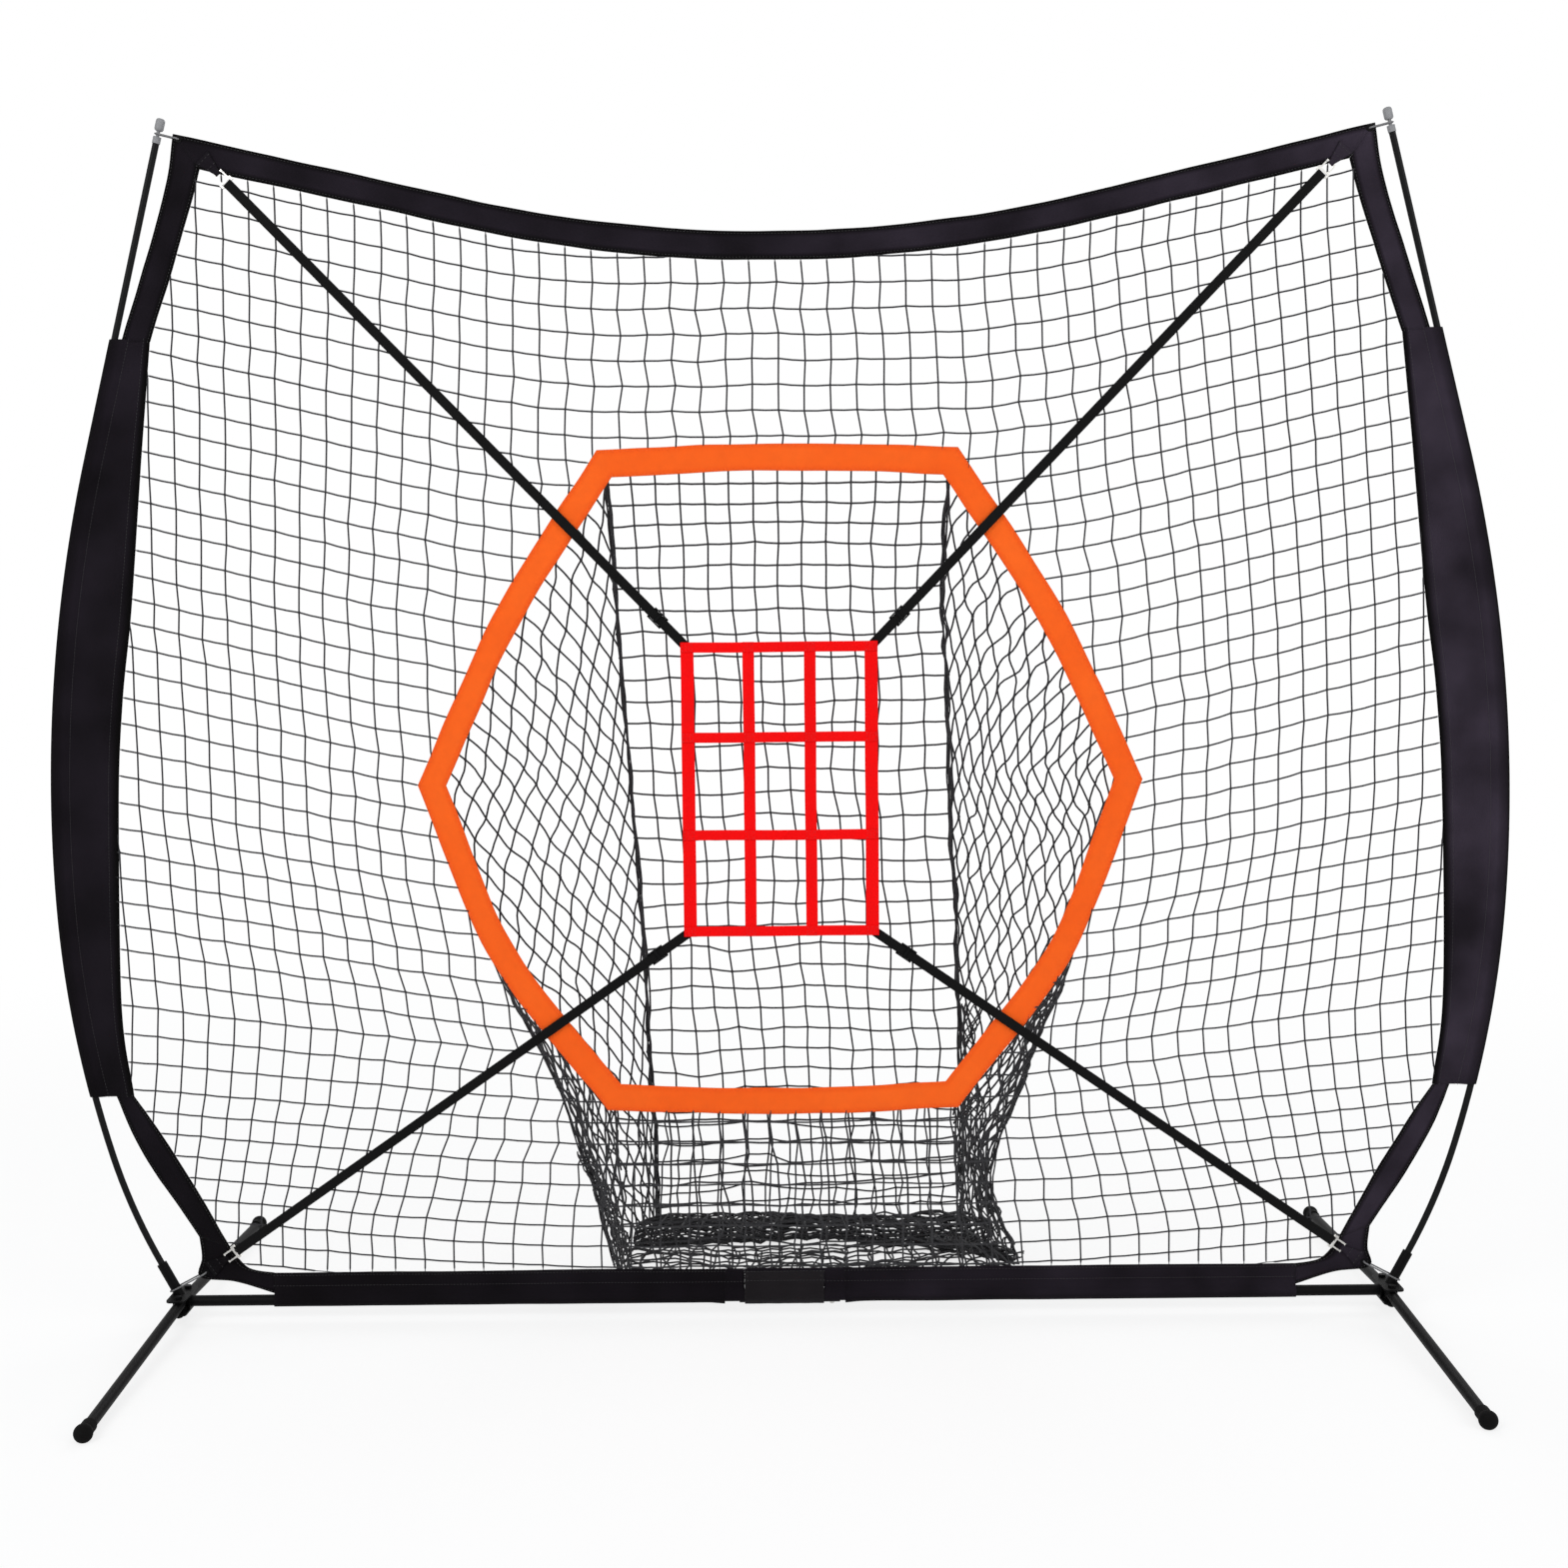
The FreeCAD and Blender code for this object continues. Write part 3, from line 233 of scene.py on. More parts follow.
def startMaterial(name, settings):
    made = bpy.data.materials.new(name)
    made.use_nodes = True
    tree = made.node_tree
    sockets = tree.nodes["Principled BSDF"].inputs
    for key, value in settings.items():
        sockets[key].default_value = value
    return made, tree, sockets, addNode(tree, "ShaderNodeTexCoord").outputs


def addBump(tree, sockets, height, strength, distance):
    bump = addNode(tree, "ShaderNodeBump", {"Strength": strength, "Distance": distance, "Height": height})
    tree.links.new(bump.outputs[0], sockets["Normal"])


def opaque(colour):
    return (*colour, 1.0)


def wovenMaterial(
    name, dark, light, group, counts, sheen, roughness, bump, gloss=0.12, paintedLightSlopes=(1.0, 0.0, 0.0, 0.0)
):
    settings = {"Sheen Weight": sheen, "Sheen Roughness": 0.5, "Specular IOR Level": gloss}
    made, tree, sockets, coordinates = startMaterial(name, settings)
    pattern = placeGroup(tree, group, coordinates["UV"], counts)
    tone = placeGroup(tree, mottle, coordinates["Object"], {"Scale": 55.0})
    middle = addNode(tree, "ShaderNodeAttribute", attribute_name="middle").outputs["Fac"]
    # The lighter colour follows the broad random tone. The middle attribute holds it back towards the edges
    # (painted shade).
    toneAndPaintedLight = calc(tree, "MULTIPLY", calc(tree, "MULTIPLY_ADD", tone["Broad"], 1.3, -0.2), middle)
    # The lighter colour is also painted by place, as painted light and shade: evenly, to the right, to both
    # sides and upwards.
    x, _, z = splitVector(tree, coordinates["Object"])
    level, across, outward, up = paintedLightSlopes
    paintedLightLevel = calc(tree, "MULTIPLY_ADD", x, calc(tree, "MULTIPLY_ADD", x, outward, across), level)
    paintedLightLevel = calc(tree, "MAXIMUM", calc(tree, "MULTIPLY_ADD", z, up, paintedLightLevel), 0.0)
    toneAndPaintedLight = calc(tree, "MINIMUM", calc(tree, "MULTIPLY", toneAndPaintedLight, paintedLightLevel), 1.0)
    base = mixColour(tree, toneAndPaintedLight, opaque(dark), opaque(light))
    deep = opaque([0.55 * c for c in dark])
    shade = calc(tree, "MULTIPLY_ADD", tone["Fine"], 0.3, calc(tree, "SUBTRACT", pattern["Shade"], 0.15))
    tree.links.new(mixColour(tree, shade, deep, base), sockets["Base Color"])
    rough = calc(tree, "MULTIPLY_ADD", tone["Fine"], 0.16, roughness - 0.08)
    tree.links.new(rough, sockets["Roughness"])
    addBump(tree, sockets, pattern["Height"], *bump)
    return made


def mouldedMaterial(name, dark, light, roughness, settings, grain):
    made, tree, sockets, coordinates = startMaterial(name, settings)
    scale, strength, distance, scuffAmount = grain
    tone = placeGroup(tree, mottle, coordinates["Object"], {"Scale": scale})
    marks = placeGroup(tree, scuffs, coordinates["Object"], {"Scale": 90.0, "Amount": scuffAmount})
    base = mixColour(tree, tone["Broad"], opaque(dark), opaque(light))
    marked = mixColour(tree, marks["Mask"], base, opaque([0.5 * (c + 0.35) for c in light]))
    tree.links.new(marked, sockets["Base Color"])
    rough = calc(tree, "MULTIPLY_ADD", tone["Fine"], 0.2, roughness - 0.1)
    rough = calc(tree, "MULTIPLY_ADD", marks["Mask"], 0.2, rough)
    tree.links.new(rough, sockets["Roughness"])
    addBump(tree, sockets, tone["Fine"], strength, distance)
    return made


def shine(level):
    return {"Specular IOR Level": level}


metal = {"Metallic": 1.0}
moulded = {
    "black_steel": ("powderCoatedSteel", (0.0016, 0.0016, 0.0017), (0.0045, 0.0043, 0.0047), 0.5,
                    shine(0.06), (900.0, 0.25, 0.0004, 0.3)),
    "zinc_steel": ("zincPlatedSteel", (0.5, 0.5, 0.49), (0.68, 0.67, 0.64), 0.34,
                   metal, (500.0, 0.15, 0.0003, 0.5)),
    "nickel_metal": ("nickelPlate", (0.66, 0.65, 0.62), (0.8, 0.79, 0.76), 0.24,
                     metal, (400.0, 0.1, 0.0002, 0.35)),
    "foot_rubber": ("footRubber", (0.002, 0.002, 0.002), (0.006, 0.0057, 0.0056), 0.8,
                    shine(0.07), (700.0, 0.4, 0.0005, 0.3)),
    "black_fibreglass": ("blackFibreglass", (0.0025, 0.0025, 0.0027), (0.0065, 0.0065, 0.007), 0.42,
                         shine(0.1), (320.0, 0.2, 0.0002, 0.3)),
    "grey_plastic": ("greyPlastic", (0.17, 0.172, 0.178), (0.27, 0.272, 0.28), 0.5,
                     shine(0.3), (600.0, 0.2, 0.0003, 0.3)),
    "black_plastic": ("blackNylon", (0.0016, 0.0016, 0.0018), (0.0045, 0.0045, 0.005), 0.5,
                      shine(0.08), (600.0, 0.25, 0.0003, 0.3)),
    "black_netting": ("nettingTwine", (0.014, 0.014, 0.016), (0.032, 0.031, 0.035), 0.78,
                      {"Specular IOR Level": 0.25, "Sheen Weight": 0.12}, (1300.0, 0.8, 0.0006, 0.0)),
    "grey_elastic": ("greyElastic", (0.09, 0.09, 0.093), (0.2, 0.2, 0.205), 0.75,
                     {"Sheen Weight": 0.2}, (1500.0, 0.8, 0.0006, 0.0)),
}
fine = {"Threads Along": 1500.0, "Threads Across": 1500.0}
woven = {
    # The border cloth's last four numbers paint light by place: lighter to the right, to both sides and
    # upwards.
    "border_fabric": ("borderFabric", (0.0012, 0.0008, 0.001), (0.052, 0.04, 0.06), weave, fine,
                      0.02, 0.86, (0.5, 0.0004), 0.06, (0.343, 0.43, 0.3, 0.173)),
    "flap_fabric": ("flapFabric", (0.005, 0.004, 0.0045), (0.022, 0.018, 0.022), weave,
                    {"Threads Along": 900.0, "Threads Across": 900.0}, 0.08, 0.92, (0.7, 0.0007), 0.06),
    "orange_band": ("orangeFabric", (0.93, 0.105, 0.006), (1.0, 0.15, 0.013), weave, fine,
                    0.08, 0.8, (0.45, 0.0004)),
    "red_webbing": ("redWebbing", (0.86, 0.0, 0.0004), (1.0, 0.0, 0.001), ribs,
                    {"Ribs": 620.0, "Chevrons": 400.0}, 0.0, 0.78, (0.5, 0.0005)),
    "black_webbing": ("blackWebbing", (0.0005, 0.0005, 0.0006), (0.003, 0.0028, 0.003), ribs,
                      {"Ribs": 620.0, "Chevrons": 430.0}, 0.0, 0.7, (0.5, 0.0005)),
}
sewing = {
    "blackThread": ((0.02, 0.02, 0.021), (0.04, 0.039, 0.041)),
    "orangeThread": ((0.8, 0.1, 0.01), (0.95, 0.16, 0.02)),
    "redThread": ((0.6, 0.004, 0.006), (0.8, 0.008, 0.012)),
}
materials = {slot: mouldedMaterial(*look) for slot, look in moulded.items()}
materials.update({slot: wovenMaterial(*look) for slot, look in woven.items()})
threads = {name: mouldedMaterial(name, *tones, 0.6, {}, (900.0, 0.5, 0.0003, 0.0))
           for name, tones in sewing.items()}
slotOf = {part["node"]: part["material_slot"] for part in frame["record"]["subparts"]}
for name, node in nodes.items():
    node.data.materials.clear()
    node.data.materials.append(materials[slotOf[name]])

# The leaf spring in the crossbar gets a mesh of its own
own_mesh(nodes["button_spring"])
print("materials made")


# Meshes
def newPiece(name, mesh, slot, *replaced):
    piece = bpy.data.objects.new(name, mesh)
    scene.collection.objects.link(piece)
    mesh.materials.clear()
    mesh.materials.append(materials[slot])
    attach(piece, "root")
    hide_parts(*replaced)
    return piece


def loft(name, rings, closed=False, middles=None):
    count, total = len(rings[0]), len(rings)
    points = [tuple(p) for ring in rings for p in ring]
    faces, corners = [], []
    along = [0.0]
    for before, after in zip(rings, rings[1:] + rings[:1]):
        along.append(along[-1] + (after[0] - before[0]).length)
    for a in range(total if closed else total - 1):
        around = 0.0
        for b in range(count):
            c, d = (b + 1) % count, (a + 1) % total
            step = (rings[a][c] - rings[a][b]).length
            faces.append((a * count + b, a * count + c, d * count + c, d * count + b))
            corners += [(along[a], around), (along[a], around + step)]
            corners += [(along[a + 1], around + step), (along[a + 1], around)]
            around += step
    if not closed:
        for ring, flip in ((0, True), (total - 1, False)):
            cap = [ring * count + b for b in range(count)]
            faces.append(tuple(cap[::-1] if flip else cap))
            corners += [(p.x, p.z) for p in (rings[ring][::-1] if flip else rings[ring])]
    mesh = bpy.data.meshes.new(name)
    mesh.from_pydata(points, [], faces)
    layer = mesh.uv_layers.new(name="UVMap")
    for k, corner in enumerate(corners):
        layer.data[k].uv = corner
    # middle: each point's share of the cloth's lighter colour; low values paint shade.
    shares = middles or [1.0] * count
    attribute = mesh.attributes.new("middle", "FLOAT", "POINT")
    attribute.data.foreach_set("value", shares * total)
    work = bmesh.new()
    work.from_mesh(mesh)
    bmesh.ops.recalc_face_normals(work, faces=work.faces)
    work.to_mesh(mesh)
    work.free()
    mesh.shade_smooth()
    return mesh


def smoothPath(points, count):
    points = [Vector(p) for p in points]
    ends = [points[0] * 2 - points[1]] + points + [points[-1] * 2 - points[-2]]
    fine = []
    for k in range(len(points) - 1):
        a, b, c, d = ends[k:k + 4]
        for step in range(24):
            t = step / 24
            fine.append(0.5 * ((2 * b) + (c - a) * t + (2 * a - 5 * b + 4 * c - d) * t ** 2
                               + (3 * b - a - 3 * c + d) * t ** 3))
    fine.append(points[-1])
    return evenly(fine, count)


def evenly(points, count):
    lengths = [0.0]
    for a, b in zip(points, points[1:]):
        lengths.append(lengths[-1] + (b - a).length)
    out, k = [], 0
    for step in range(count):
        target = lengths[-1] * step / (count - 1)
        while k < len(points) - 2 and lengths[k + 1] < target:
            k += 1
        span = max(lengths[k + 1] - lengths[k], 1e-12)
        out.append(points[k].lerp(points[k + 1], min(1.0, (target - lengths[k]) / span)))
    return out


def ramp(value, pairs):
    if value <= pairs[0][0]:
        return pairs[0][1]
    for (a, p), (b, q) in zip(pairs, pairs[1:]):
        if value <= b:
            return p + (q - p) * (value - a) / (b - a)
    return pairs[-1][1]


def wobble(*place):
    return noise.noise(Vector(place))


def steps(start, end, count):
    return [start + (end - start) * k / count for k in range(count + 1)]


def joinMeshes(name, meshes):
    work = bmesh.new()
    for mesh in meshes:
        work.from_mesh(mesh)
    joined = bpy.data.meshes.new(name)
    work.to_mesh(joined)
    work.free()
    joined.shade_smooth()
    return joined


def lineObject(name, lines, knots=(), slim=None):
    points, edges = [], []
    for line in lines:
        start = len(points)
        points += [tuple(p) for p in line]
        edges += [(k, k + 1) for k in range(start, len(points) - 1)]
    first = len(points)
    points += [tuple(p) for p in knots]
    mesh = bpy.data.meshes.new(name)
    mesh.from_pydata(points, edges, [])
    marked = mesh.attributes.new("knot", "FLOAT", "POINT")
    marked.data.foreach_set("value", [0.0] * first + [1.0] * len(knots))
    thickness = mesh.attributes.new("thickness", "FLOAT", "POINT")
    thickness.data.foreach_set("value", [slim(Vector(p)) if slim else 1.0 for p in points])
    made = bpy.data.objects.new(name, mesh)
    scene.collection.objects.link(made)
    return made


# Geometry node trees
def geometryTree(name, inputs):
    tree = bpy.data.node_groups.new(name, "GeometryNodeTree")
    for way in ("INPUT", "OUTPUT"):
        tree.interface.new_socket("Geometry", in_out=way, socket_type="NodeSocketGeometry")
    addSockets(tree, (*inputs, ("Material", "Material", None)))
    return tree, addNode(tree, "NodeGroupInput").outputs


def endTree(tree, taken, geometries):
    join = addNode(tree, "GeometryNodeJoinGeometry")
    for geometry in geometries:
        tree.links.new(geometry, join.inputs[0])
    realize = addNode(tree, "GeometryNodeRealizeInstances", {0: join.outputs[0]})
    smooth = addNode(tree, "GeometryNodeSetShadeSmooth", {0: realize.outputs[0]})
    feeds = {"Geometry": smooth.outputs[0], "Material": taken["Material"]}
    addNode(tree, "NodeGroupOutput", {0: addNode(tree, "GeometryNodeSetMaterial", feeds).outputs[0]})


def pointValue(tree, name):
    named = addNode(tree, "GeometryNodeInputNamedAttribute", data_type="FLOAT")
    named.inputs["Name"].default_value = name
    return named.outputs["Attribute"]


def madeByTree(name, source, tree, **values):
    modifier = source.modifiers.new("nodes", "NODES")
    modifier.node_group = tree
    for item in tree.interface.items_tree:
        key = item.name.replace(" ", "")
        if item.in_out == "INPUT" and key in values:
            modifier[item.identifier] = values[key]
    bpy.context.view_layer.update()
    graph = bpy.context.evaluated_depsgraph_get()
    mesh = bpy.data.meshes.new_from_object(source.evaluated_get(graph))
    mesh.name = name
    bpy.data.objects.remove(source)
    piece = bpy.data.objects.new(name, mesh)
    scene.collection.objects.link(piece)
    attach(piece, "root")
    return piece


# Twine along every line, and a small braided joint at every crossing
netting, taken = geometryTree(
    "netting", (("Twine Radius", "Float", 0.001), ("Joint Radius", "Float", 0.0017), ("Seed", "Int", 4))
)
curve = addNode(netting, "GeometryNodeMeshToCurve", {"Mesh": taken["Geometry"]})
feeds = {"Resolution": 5, "Radius": taken["Twine Radius"]}
ring = addNode(netting, "GeometryNodeCurvePrimitiveCircle", feeds)
twine = addNode(netting, "GeometryNodeCurveToMesh", {
    "Curve": curve.outputs[0], "Profile Curve": ring.outputs[0], "Scale": pointValue(netting, "thickness"),
})
crossings = addNode(netting, "GeometryNodeMeshToPoints", {
    "Mesh": taken["Geometry"], "Selection": pointValue(netting, "knot"),
})
ball = addNode(netting, "GeometryNodeMeshIcoSphere", {"Radius": taken["Joint Radius"]})
feeds = {2: 0.8, 3: 1.25, "Seed": taken["Seed"]}
size = addNode(netting, "FunctionNodeRandomValue", feeds, data_type="FLOAT")
placed = addNode(netting, "GeometryNodeInstanceOnPoints", {
    "Points": crossings.outputs[0], "Instance": ball.outputs[0], "Scale": size.outputs[1],
})
endTree(netting, taken, (twine.outputs[0], placed.outputs[0]))

# Stitches in a row along every line
rows, taken = geometryTree(
    "stitchRow", (("Pitch", "Float", 0.005), ("Length", "Float", 0.0034), ("Radius", "Float", 0.0003))
)
curve = addNode(rows, "GeometryNodeMeshToCurve", {"Mesh": taken["Geometry"]})
spots = addNode(rows, "GeometryNodeCurveToPoints", {"Curve": curve.outputs[0], "Length": taken["Pitch"]},
                mode="LENGTH")
aim = addNode(rows, "FunctionNodeAlignRotationToVector", {"Vector": spots.outputs["Tangent"]}, axis="Z")
stitch = addNode(rows, "GeometryNodeMeshIcoSphere", {"Radius": 1.0})
halfLength = calc(rows, "MULTIPLY", taken["Length"], 0.5)
stretch = addNode(rows, "ShaderNodeCombineXYZ", {0: taken["Radius"], 1: taken["Radius"], 2: halfLength})
placed = addNode(rows, "GeometryNodeInstanceOnPoints", {
    "Points": spots.outputs["Points"], "Instance": stitch.outputs[0], "Rotation": aim.outputs[0],
    "Scale": stretch.outputs[0],
})
endTree(rows, taken, (placed.outputs[0],))
print("node trees made")

# The pole's axis, as in the part: a straight run in the socket, three bends, a straight tip
pole = {"hub": 0.899, "bar": 0.030, "lean": 27.8, "start": 0.018, "section": 0.575, "socketTop": 0.065}
poleRuns = [(pole["socketTop"], None)]
for radius, degrees in ((0.867, 11.8), (1.618, 13.2), (2.221, 17.0)):
    poleRuns.append((radius * math.radians(degrees), radius))
poleRuns.append((2.0, None))
poleEnd = pole["start"] + 3 * pole["section"]


def polePlace(distance):
    x, z, lean, left = pole["hub"], pole["bar"], math.radians(pole["lean"]), distance
    for length, radius in poleRuns:
        step = min(left, length)
        if radius is None:
            x += step * math.sin(lean)
            z += step * math.cos(lean)
        else:
            after = lean - step / radius
            x += radius * (math.cos(after) - math.cos(lean))
            z += radius * (math.sin(lean) - math.sin(after))
            lean = after
        left -= step
        if left <= 0:
            break
    return x, z, lean


def poleDistance(height):
    low, high = 0.0, poleEnd
    for _ in range(40):
        middle = (low + high) / 2
        if polePlace(middle)[1] < height:
            low = middle
        else:
            high = middle
    return low


# Cloth bands of the border
stitchRows = {"blackThread": [], "orangeThread": [], "redThread": []}
acrossSteps = (0.0, 0.025, 0.09, 0.24, 0.42, 0.58, 0.76, 0.91, 0.975, 1.0)


def bandRing(outer, inner, half, amount=1.0):
    ring = []
    for side in (-1, 1):
        for share in acrossSteps if side < 0 else acrossSteps[-2:0:-1]:
            p = outer.lerp(inner, share)
            thick = half * math.sqrt(max(0.0, 1 - abs(2 * share - 1) ** 7))
            if share in (0.09, 0.91):
                thick *= 0.78
            broad = 0.0008 * wobble(p.x * 9, p.z * 9, 1.0)
            pucker = 0.0005 * wobble(p.x * 55, p.z * 55, 5.0) * abs(2 * share - 1)
            ring.append(Vector((p.x, side * thick + amount * (broad + pucker), p.z)))
    return ring


# Painted shade along a band's edges: the lighter colour fades out towards both edges.
bandMiddles = [
    min(1.0, max(0.0, (min(s, 1 - s) - 0.08) / 0.15)) for s in acrossSteps + acrossSteps[-2:0:-1]
]

threadLift = 0.0002


def sewRows(rings, front, back=(), thread="blackThread"):
    for indices, shift in ((front, -threadLift), (back, threadLift)):
        stitchRows[thread] += [[ring[n] + Vector((0, shift, 0)) for ring in rings] for n in indices]


def bandArea(outer, inner):
    return sum((c - a).cross(d - b).length / 2 for a, b, c, d in zip(outer, outer[1:], inner[1:], inner))


def lengthOf(points):
    return sum((b - a).length for a, b in zip(points, points[1:]))


def declareSheet(outer, inner, extra=0.0):
    width = max((a - b).length for a, b in zip(outer, inner)) + extra
    length = max(lengthOf(outer), lengthOf(inner))
    area = min(bandArea(outer, inner) + extra * length, width * length)


def wavy(points, amount, seed):
    out = []
    for p in points:
        shift = Vector((wobble(p.x * 14, p.z * 14, seed), 0, wobble(p.x * 14, p.z * 14, seed + 9)))
        out.append(p + shift * amount)
    return out


def sewBand(name, outer, inner, half, replaced, amount=1.0, closed=False):
    slot, thread = ("orange_band", "orangeThread") if closed else ("border_fabric", "blackThread")
    rings = [bandRing(a, b, half, amount) for a, b in zip(outer, inner)]
    piece = newPiece(name, loft(name, rings, closed, bandMiddles), slot, replaced)
    if closed:
        outer, inner, rings = outer + outer[:1], inner + inner[:1], rings + rings[:1]
    declareSheet(outer, inner)
    sewRows(rings, (2, 7), (11, 16), thread)


hem = {
    "middle": 1.589, "radius": 2.0, "arcHalf": 0.445, "width": 0.0405,
    "corner": 0.854, "innerCorner": 0.818, "half": 0.0016, "stations": 150,
}
hemAngle = math.asin(hem["arcHalf"] / hem["radius"])


def hemHeight(x, depth):
    radius = hem["radius"] + depth
    bend = radius * math.sin(hemAngle)
    centre = hem["middle"] + hem["radius"]
    if abs(x) <= bend:
        return centre - math.sqrt(radius ** 2 - x ** 2)
    return centre - radius * math.cos(hemAngle) + math.tan(hemAngle) * (abs(x) - bend)


def at(x, z):
    return Vector((x, 0.0, z))


outer, inner = [], []
for k in range(hem["stations"] + 1):
    share = 2.0 * k / hem["stations"] - 1.0
    outer.append(at(share * hem["corner"], hemHeight(share * hem["corner"], 0.0)))
    inner.append(at(share * hem["innerCorner"], hemHeight(share * hem["innerCorner"], hem["width"])))
outer, inner = wavy(outer, 0.0012, 2.0), wavy(inner, 0.0014, 4.0)
sewBand("topHem", outer, inner, hem["half"], "top_hem")

border = {
    "half": 0.0016, "bendOuter": (0.8725, 1.640), "bendInner": (0.8355, 1.621), "lowWidth": 0.042,
    "sleeveTop": 1.445, "sleeveBottom": 0.342, "tunnel": 0.0074,
    "lowOuter": ((0.987, 0.342), (0.965, 0.284), (0.931, 0.220), (0.872, 0.128)),
    "lowInner": ((0.917, 0.275), (0.878, 0.208), (0.826, 0.111)),
    "gussetOuter": ((0.872, 0.128), (0.869, 0.096), (0.873, 0.066), (0.820, 0.0585), (0.762, 0.040)),
    "gussetInner": ((0.826, 0.111), (0.814, 0.094), (0.800, 0.080), (0.782, 0.0745), (0.762, 0.072)),
}
sleeveWidths = (
    (0.342, 0.058), (0.477, 0.069), (0.774, 0.0915), (0.925, 0.0945), (1.060, 0.0965),
    (1.270, 0.076), (1.445, 0.051),
)
sleeveCurve = smoothPath(
    [(polePlace(poleDistance(z))[0] - width, 0.0, z) for z, width in sleeveWidths], 90
)


def sleeveInner(z):
    return ramp(z, [(p.z, p.x) for p in sleeveCurve])


def sleeveRing(centre, width, side, mouth):
    flat = [0.024 + (width - 0.030) * s for s in (0.0, 0.3, 0.6, 0.86, 1.0)]
    radius = border["tunnel"]
    profile = [(-radius * math.cos(a), radius * math.sin(a)) for a in (0.0, 0.5, 1.0, 1.45)]
    profile += [(0.0065, 0.0066), (0.0115, 0.0050), (0.0165, 0.0030), (0.0205, 0.0015)]
    profile += [(d, border["half"]) for d in flat] + [(width - 0.0025, 0.0012), (width, 0.0)]
    ring = []
    for face, part in ((-1, profile), (1, profile[-2:0:-1])):
        for d, thick in part:
            share = min(1.0, max(0.0, (d - 0.018) / 0.02))
            x, z = centre.x - side * d, centre.z
            drift = 0.0011 * wobble(x * 6, z * 4, 11.0) + 0.0006 * wobble(x * 26, z * 12, 13.0)
            # The tunnel's mouth is turned in.
            if mouth:
                thick, x = thick * 0.74, centre.x - side * d * (0.8 if d < 0 else 0.98)
            ring.append(Vector((x, face * thick + share * drift, z)))
    return ring


def sidePath(side, points, count):
    return smoothPath([(side * x, 0, z) for x, z in points], count)


sideName = {1: "right", -1: "left"}
sideLabel = {1: "Right", -1: "Left"}
# Painted shade on the tunnel round the pole and at the sleeve's inner edge.
sleeveMiddles = [0.0, 0.0, 0.1, 0.4, 0.7] + [1.0] * 7 + [0.2, 0.0, 0.0]
for side in (1, -1):
    label, sleeveNode = sideLabel[side], "side_sleeve_" + sideName[side]
    innerTop, top = sleeveInner(border["sleeveTop"]), border["sleeveTop"] - 0.004
    outer = sidePath(side, [
        (hem["corner"], hemHeight(hem["corner"], 0.0)), border["bendOuter"],
        (innerTop + border["lowWidth"], top),
    ], 34)
    inner = sidePath(side, [
        (hem["innerCorner"], hemHeight(hem["innerCorner"], hem["width"])), border["bendInner"],
        (innerTop, top),
    ], 34)
    sewBand("upperBand" + label, wavy(outer, 0.0012, 6.0), wavy(inner, 0.0012, 8.0),
            border["half"] * 1.04, "upper_side_bands")

    low, high = poleDistance(border["sleeveBottom"]), poleDistance(border["sleeveTop"])
    centres = [at(side * x, z) for x, z, lean in map(polePlace, steps(low, high, 110))]
    edges = [at(side * sleeveInner(c.z), c.z) for c in centres]

    def ringAt(k, mouth):
        return sleeveRing(centres[k], abs(centres[k].x - edges[k].x), side, mouth)

    rings = [ringAt(k, False) for k in range(len(centres))]
    allRings = [ringAt(1, True), ringAt(0, True)] + rings + [ringAt(-1, True), ringAt(-2, True)]
    sleeve = newPiece(
        "sideSleeve" + label, loft("sideSleeve", allRings, middles=sleeveMiddles + sleeveMiddles[-2:0:-1]),
        "border_fabric", sleeveNode,
    )
    declareSheet(centres, edges, 0.012)
    sewRows(rings, (7, 11), (-8, -12))

    outer = sidePath(side, border["lowOuter"], 30)
    inner = sidePath(side, [(sleeveInner(border["sleeveBottom"]), border["sleeveBottom"]),
                            *border["lowInner"]], 30)
    sewBand("lowerBand" + label, wavy(outer, 0.0014, 15.0), wavy(inner, 0.0014, 16.0),
            border["half"] * 1.03, "lower_side_bands", 1.5)
    outer, inner = (sidePath(side, border["gusset" + edge], 26) for edge in ("Outer", "Inner"))
    sewBand("cornerGusset" + label, outer, inner, border["half"] * 1.06, "corner_gussets",
            1.3)

bottom = {
    "half": 0.762, "top": 0.072, "wide": 0.090, "bayLow": 0.0427, "sleeve": 0.0100, "web": 0.0016,
    "flapLow": -0.060, "flapHigh": 0.058, "flapTop": 0.068, "flapRadius": 0.0120, "bore": 0.0104,
}


def hemWeb(x):
    top, bar = bottom["top"], pole["bar"]
    lift = 0.0018 * wobble(x * 5, 3.0, 25.0)
    web = []
    for thick, z in ((0.0023, bar + 0.0128), (0.0016, bar + 0.0165), (bottom["web"], bar + 0.022),
                     (bottom["web"], top - 0.008), (0.0012, top - 0.004), (0.0014, top - 0.0012), (0.0, top)):
        share = max(0.0, (z - bar - 0.012) / 0.03)
        drift = share * (0.0012 * wobble(x * 8, z * 8, 21.0) + 0.0006 * wobble(x * 40, z * 20, 23.0))
        web.append((thick, drift, z + lift * share))
    return web


def arc(radius, angles):
    return [(radius * math.cos(math.radians(d)), radius * math.sin(math.radians(d))) for d in angles]


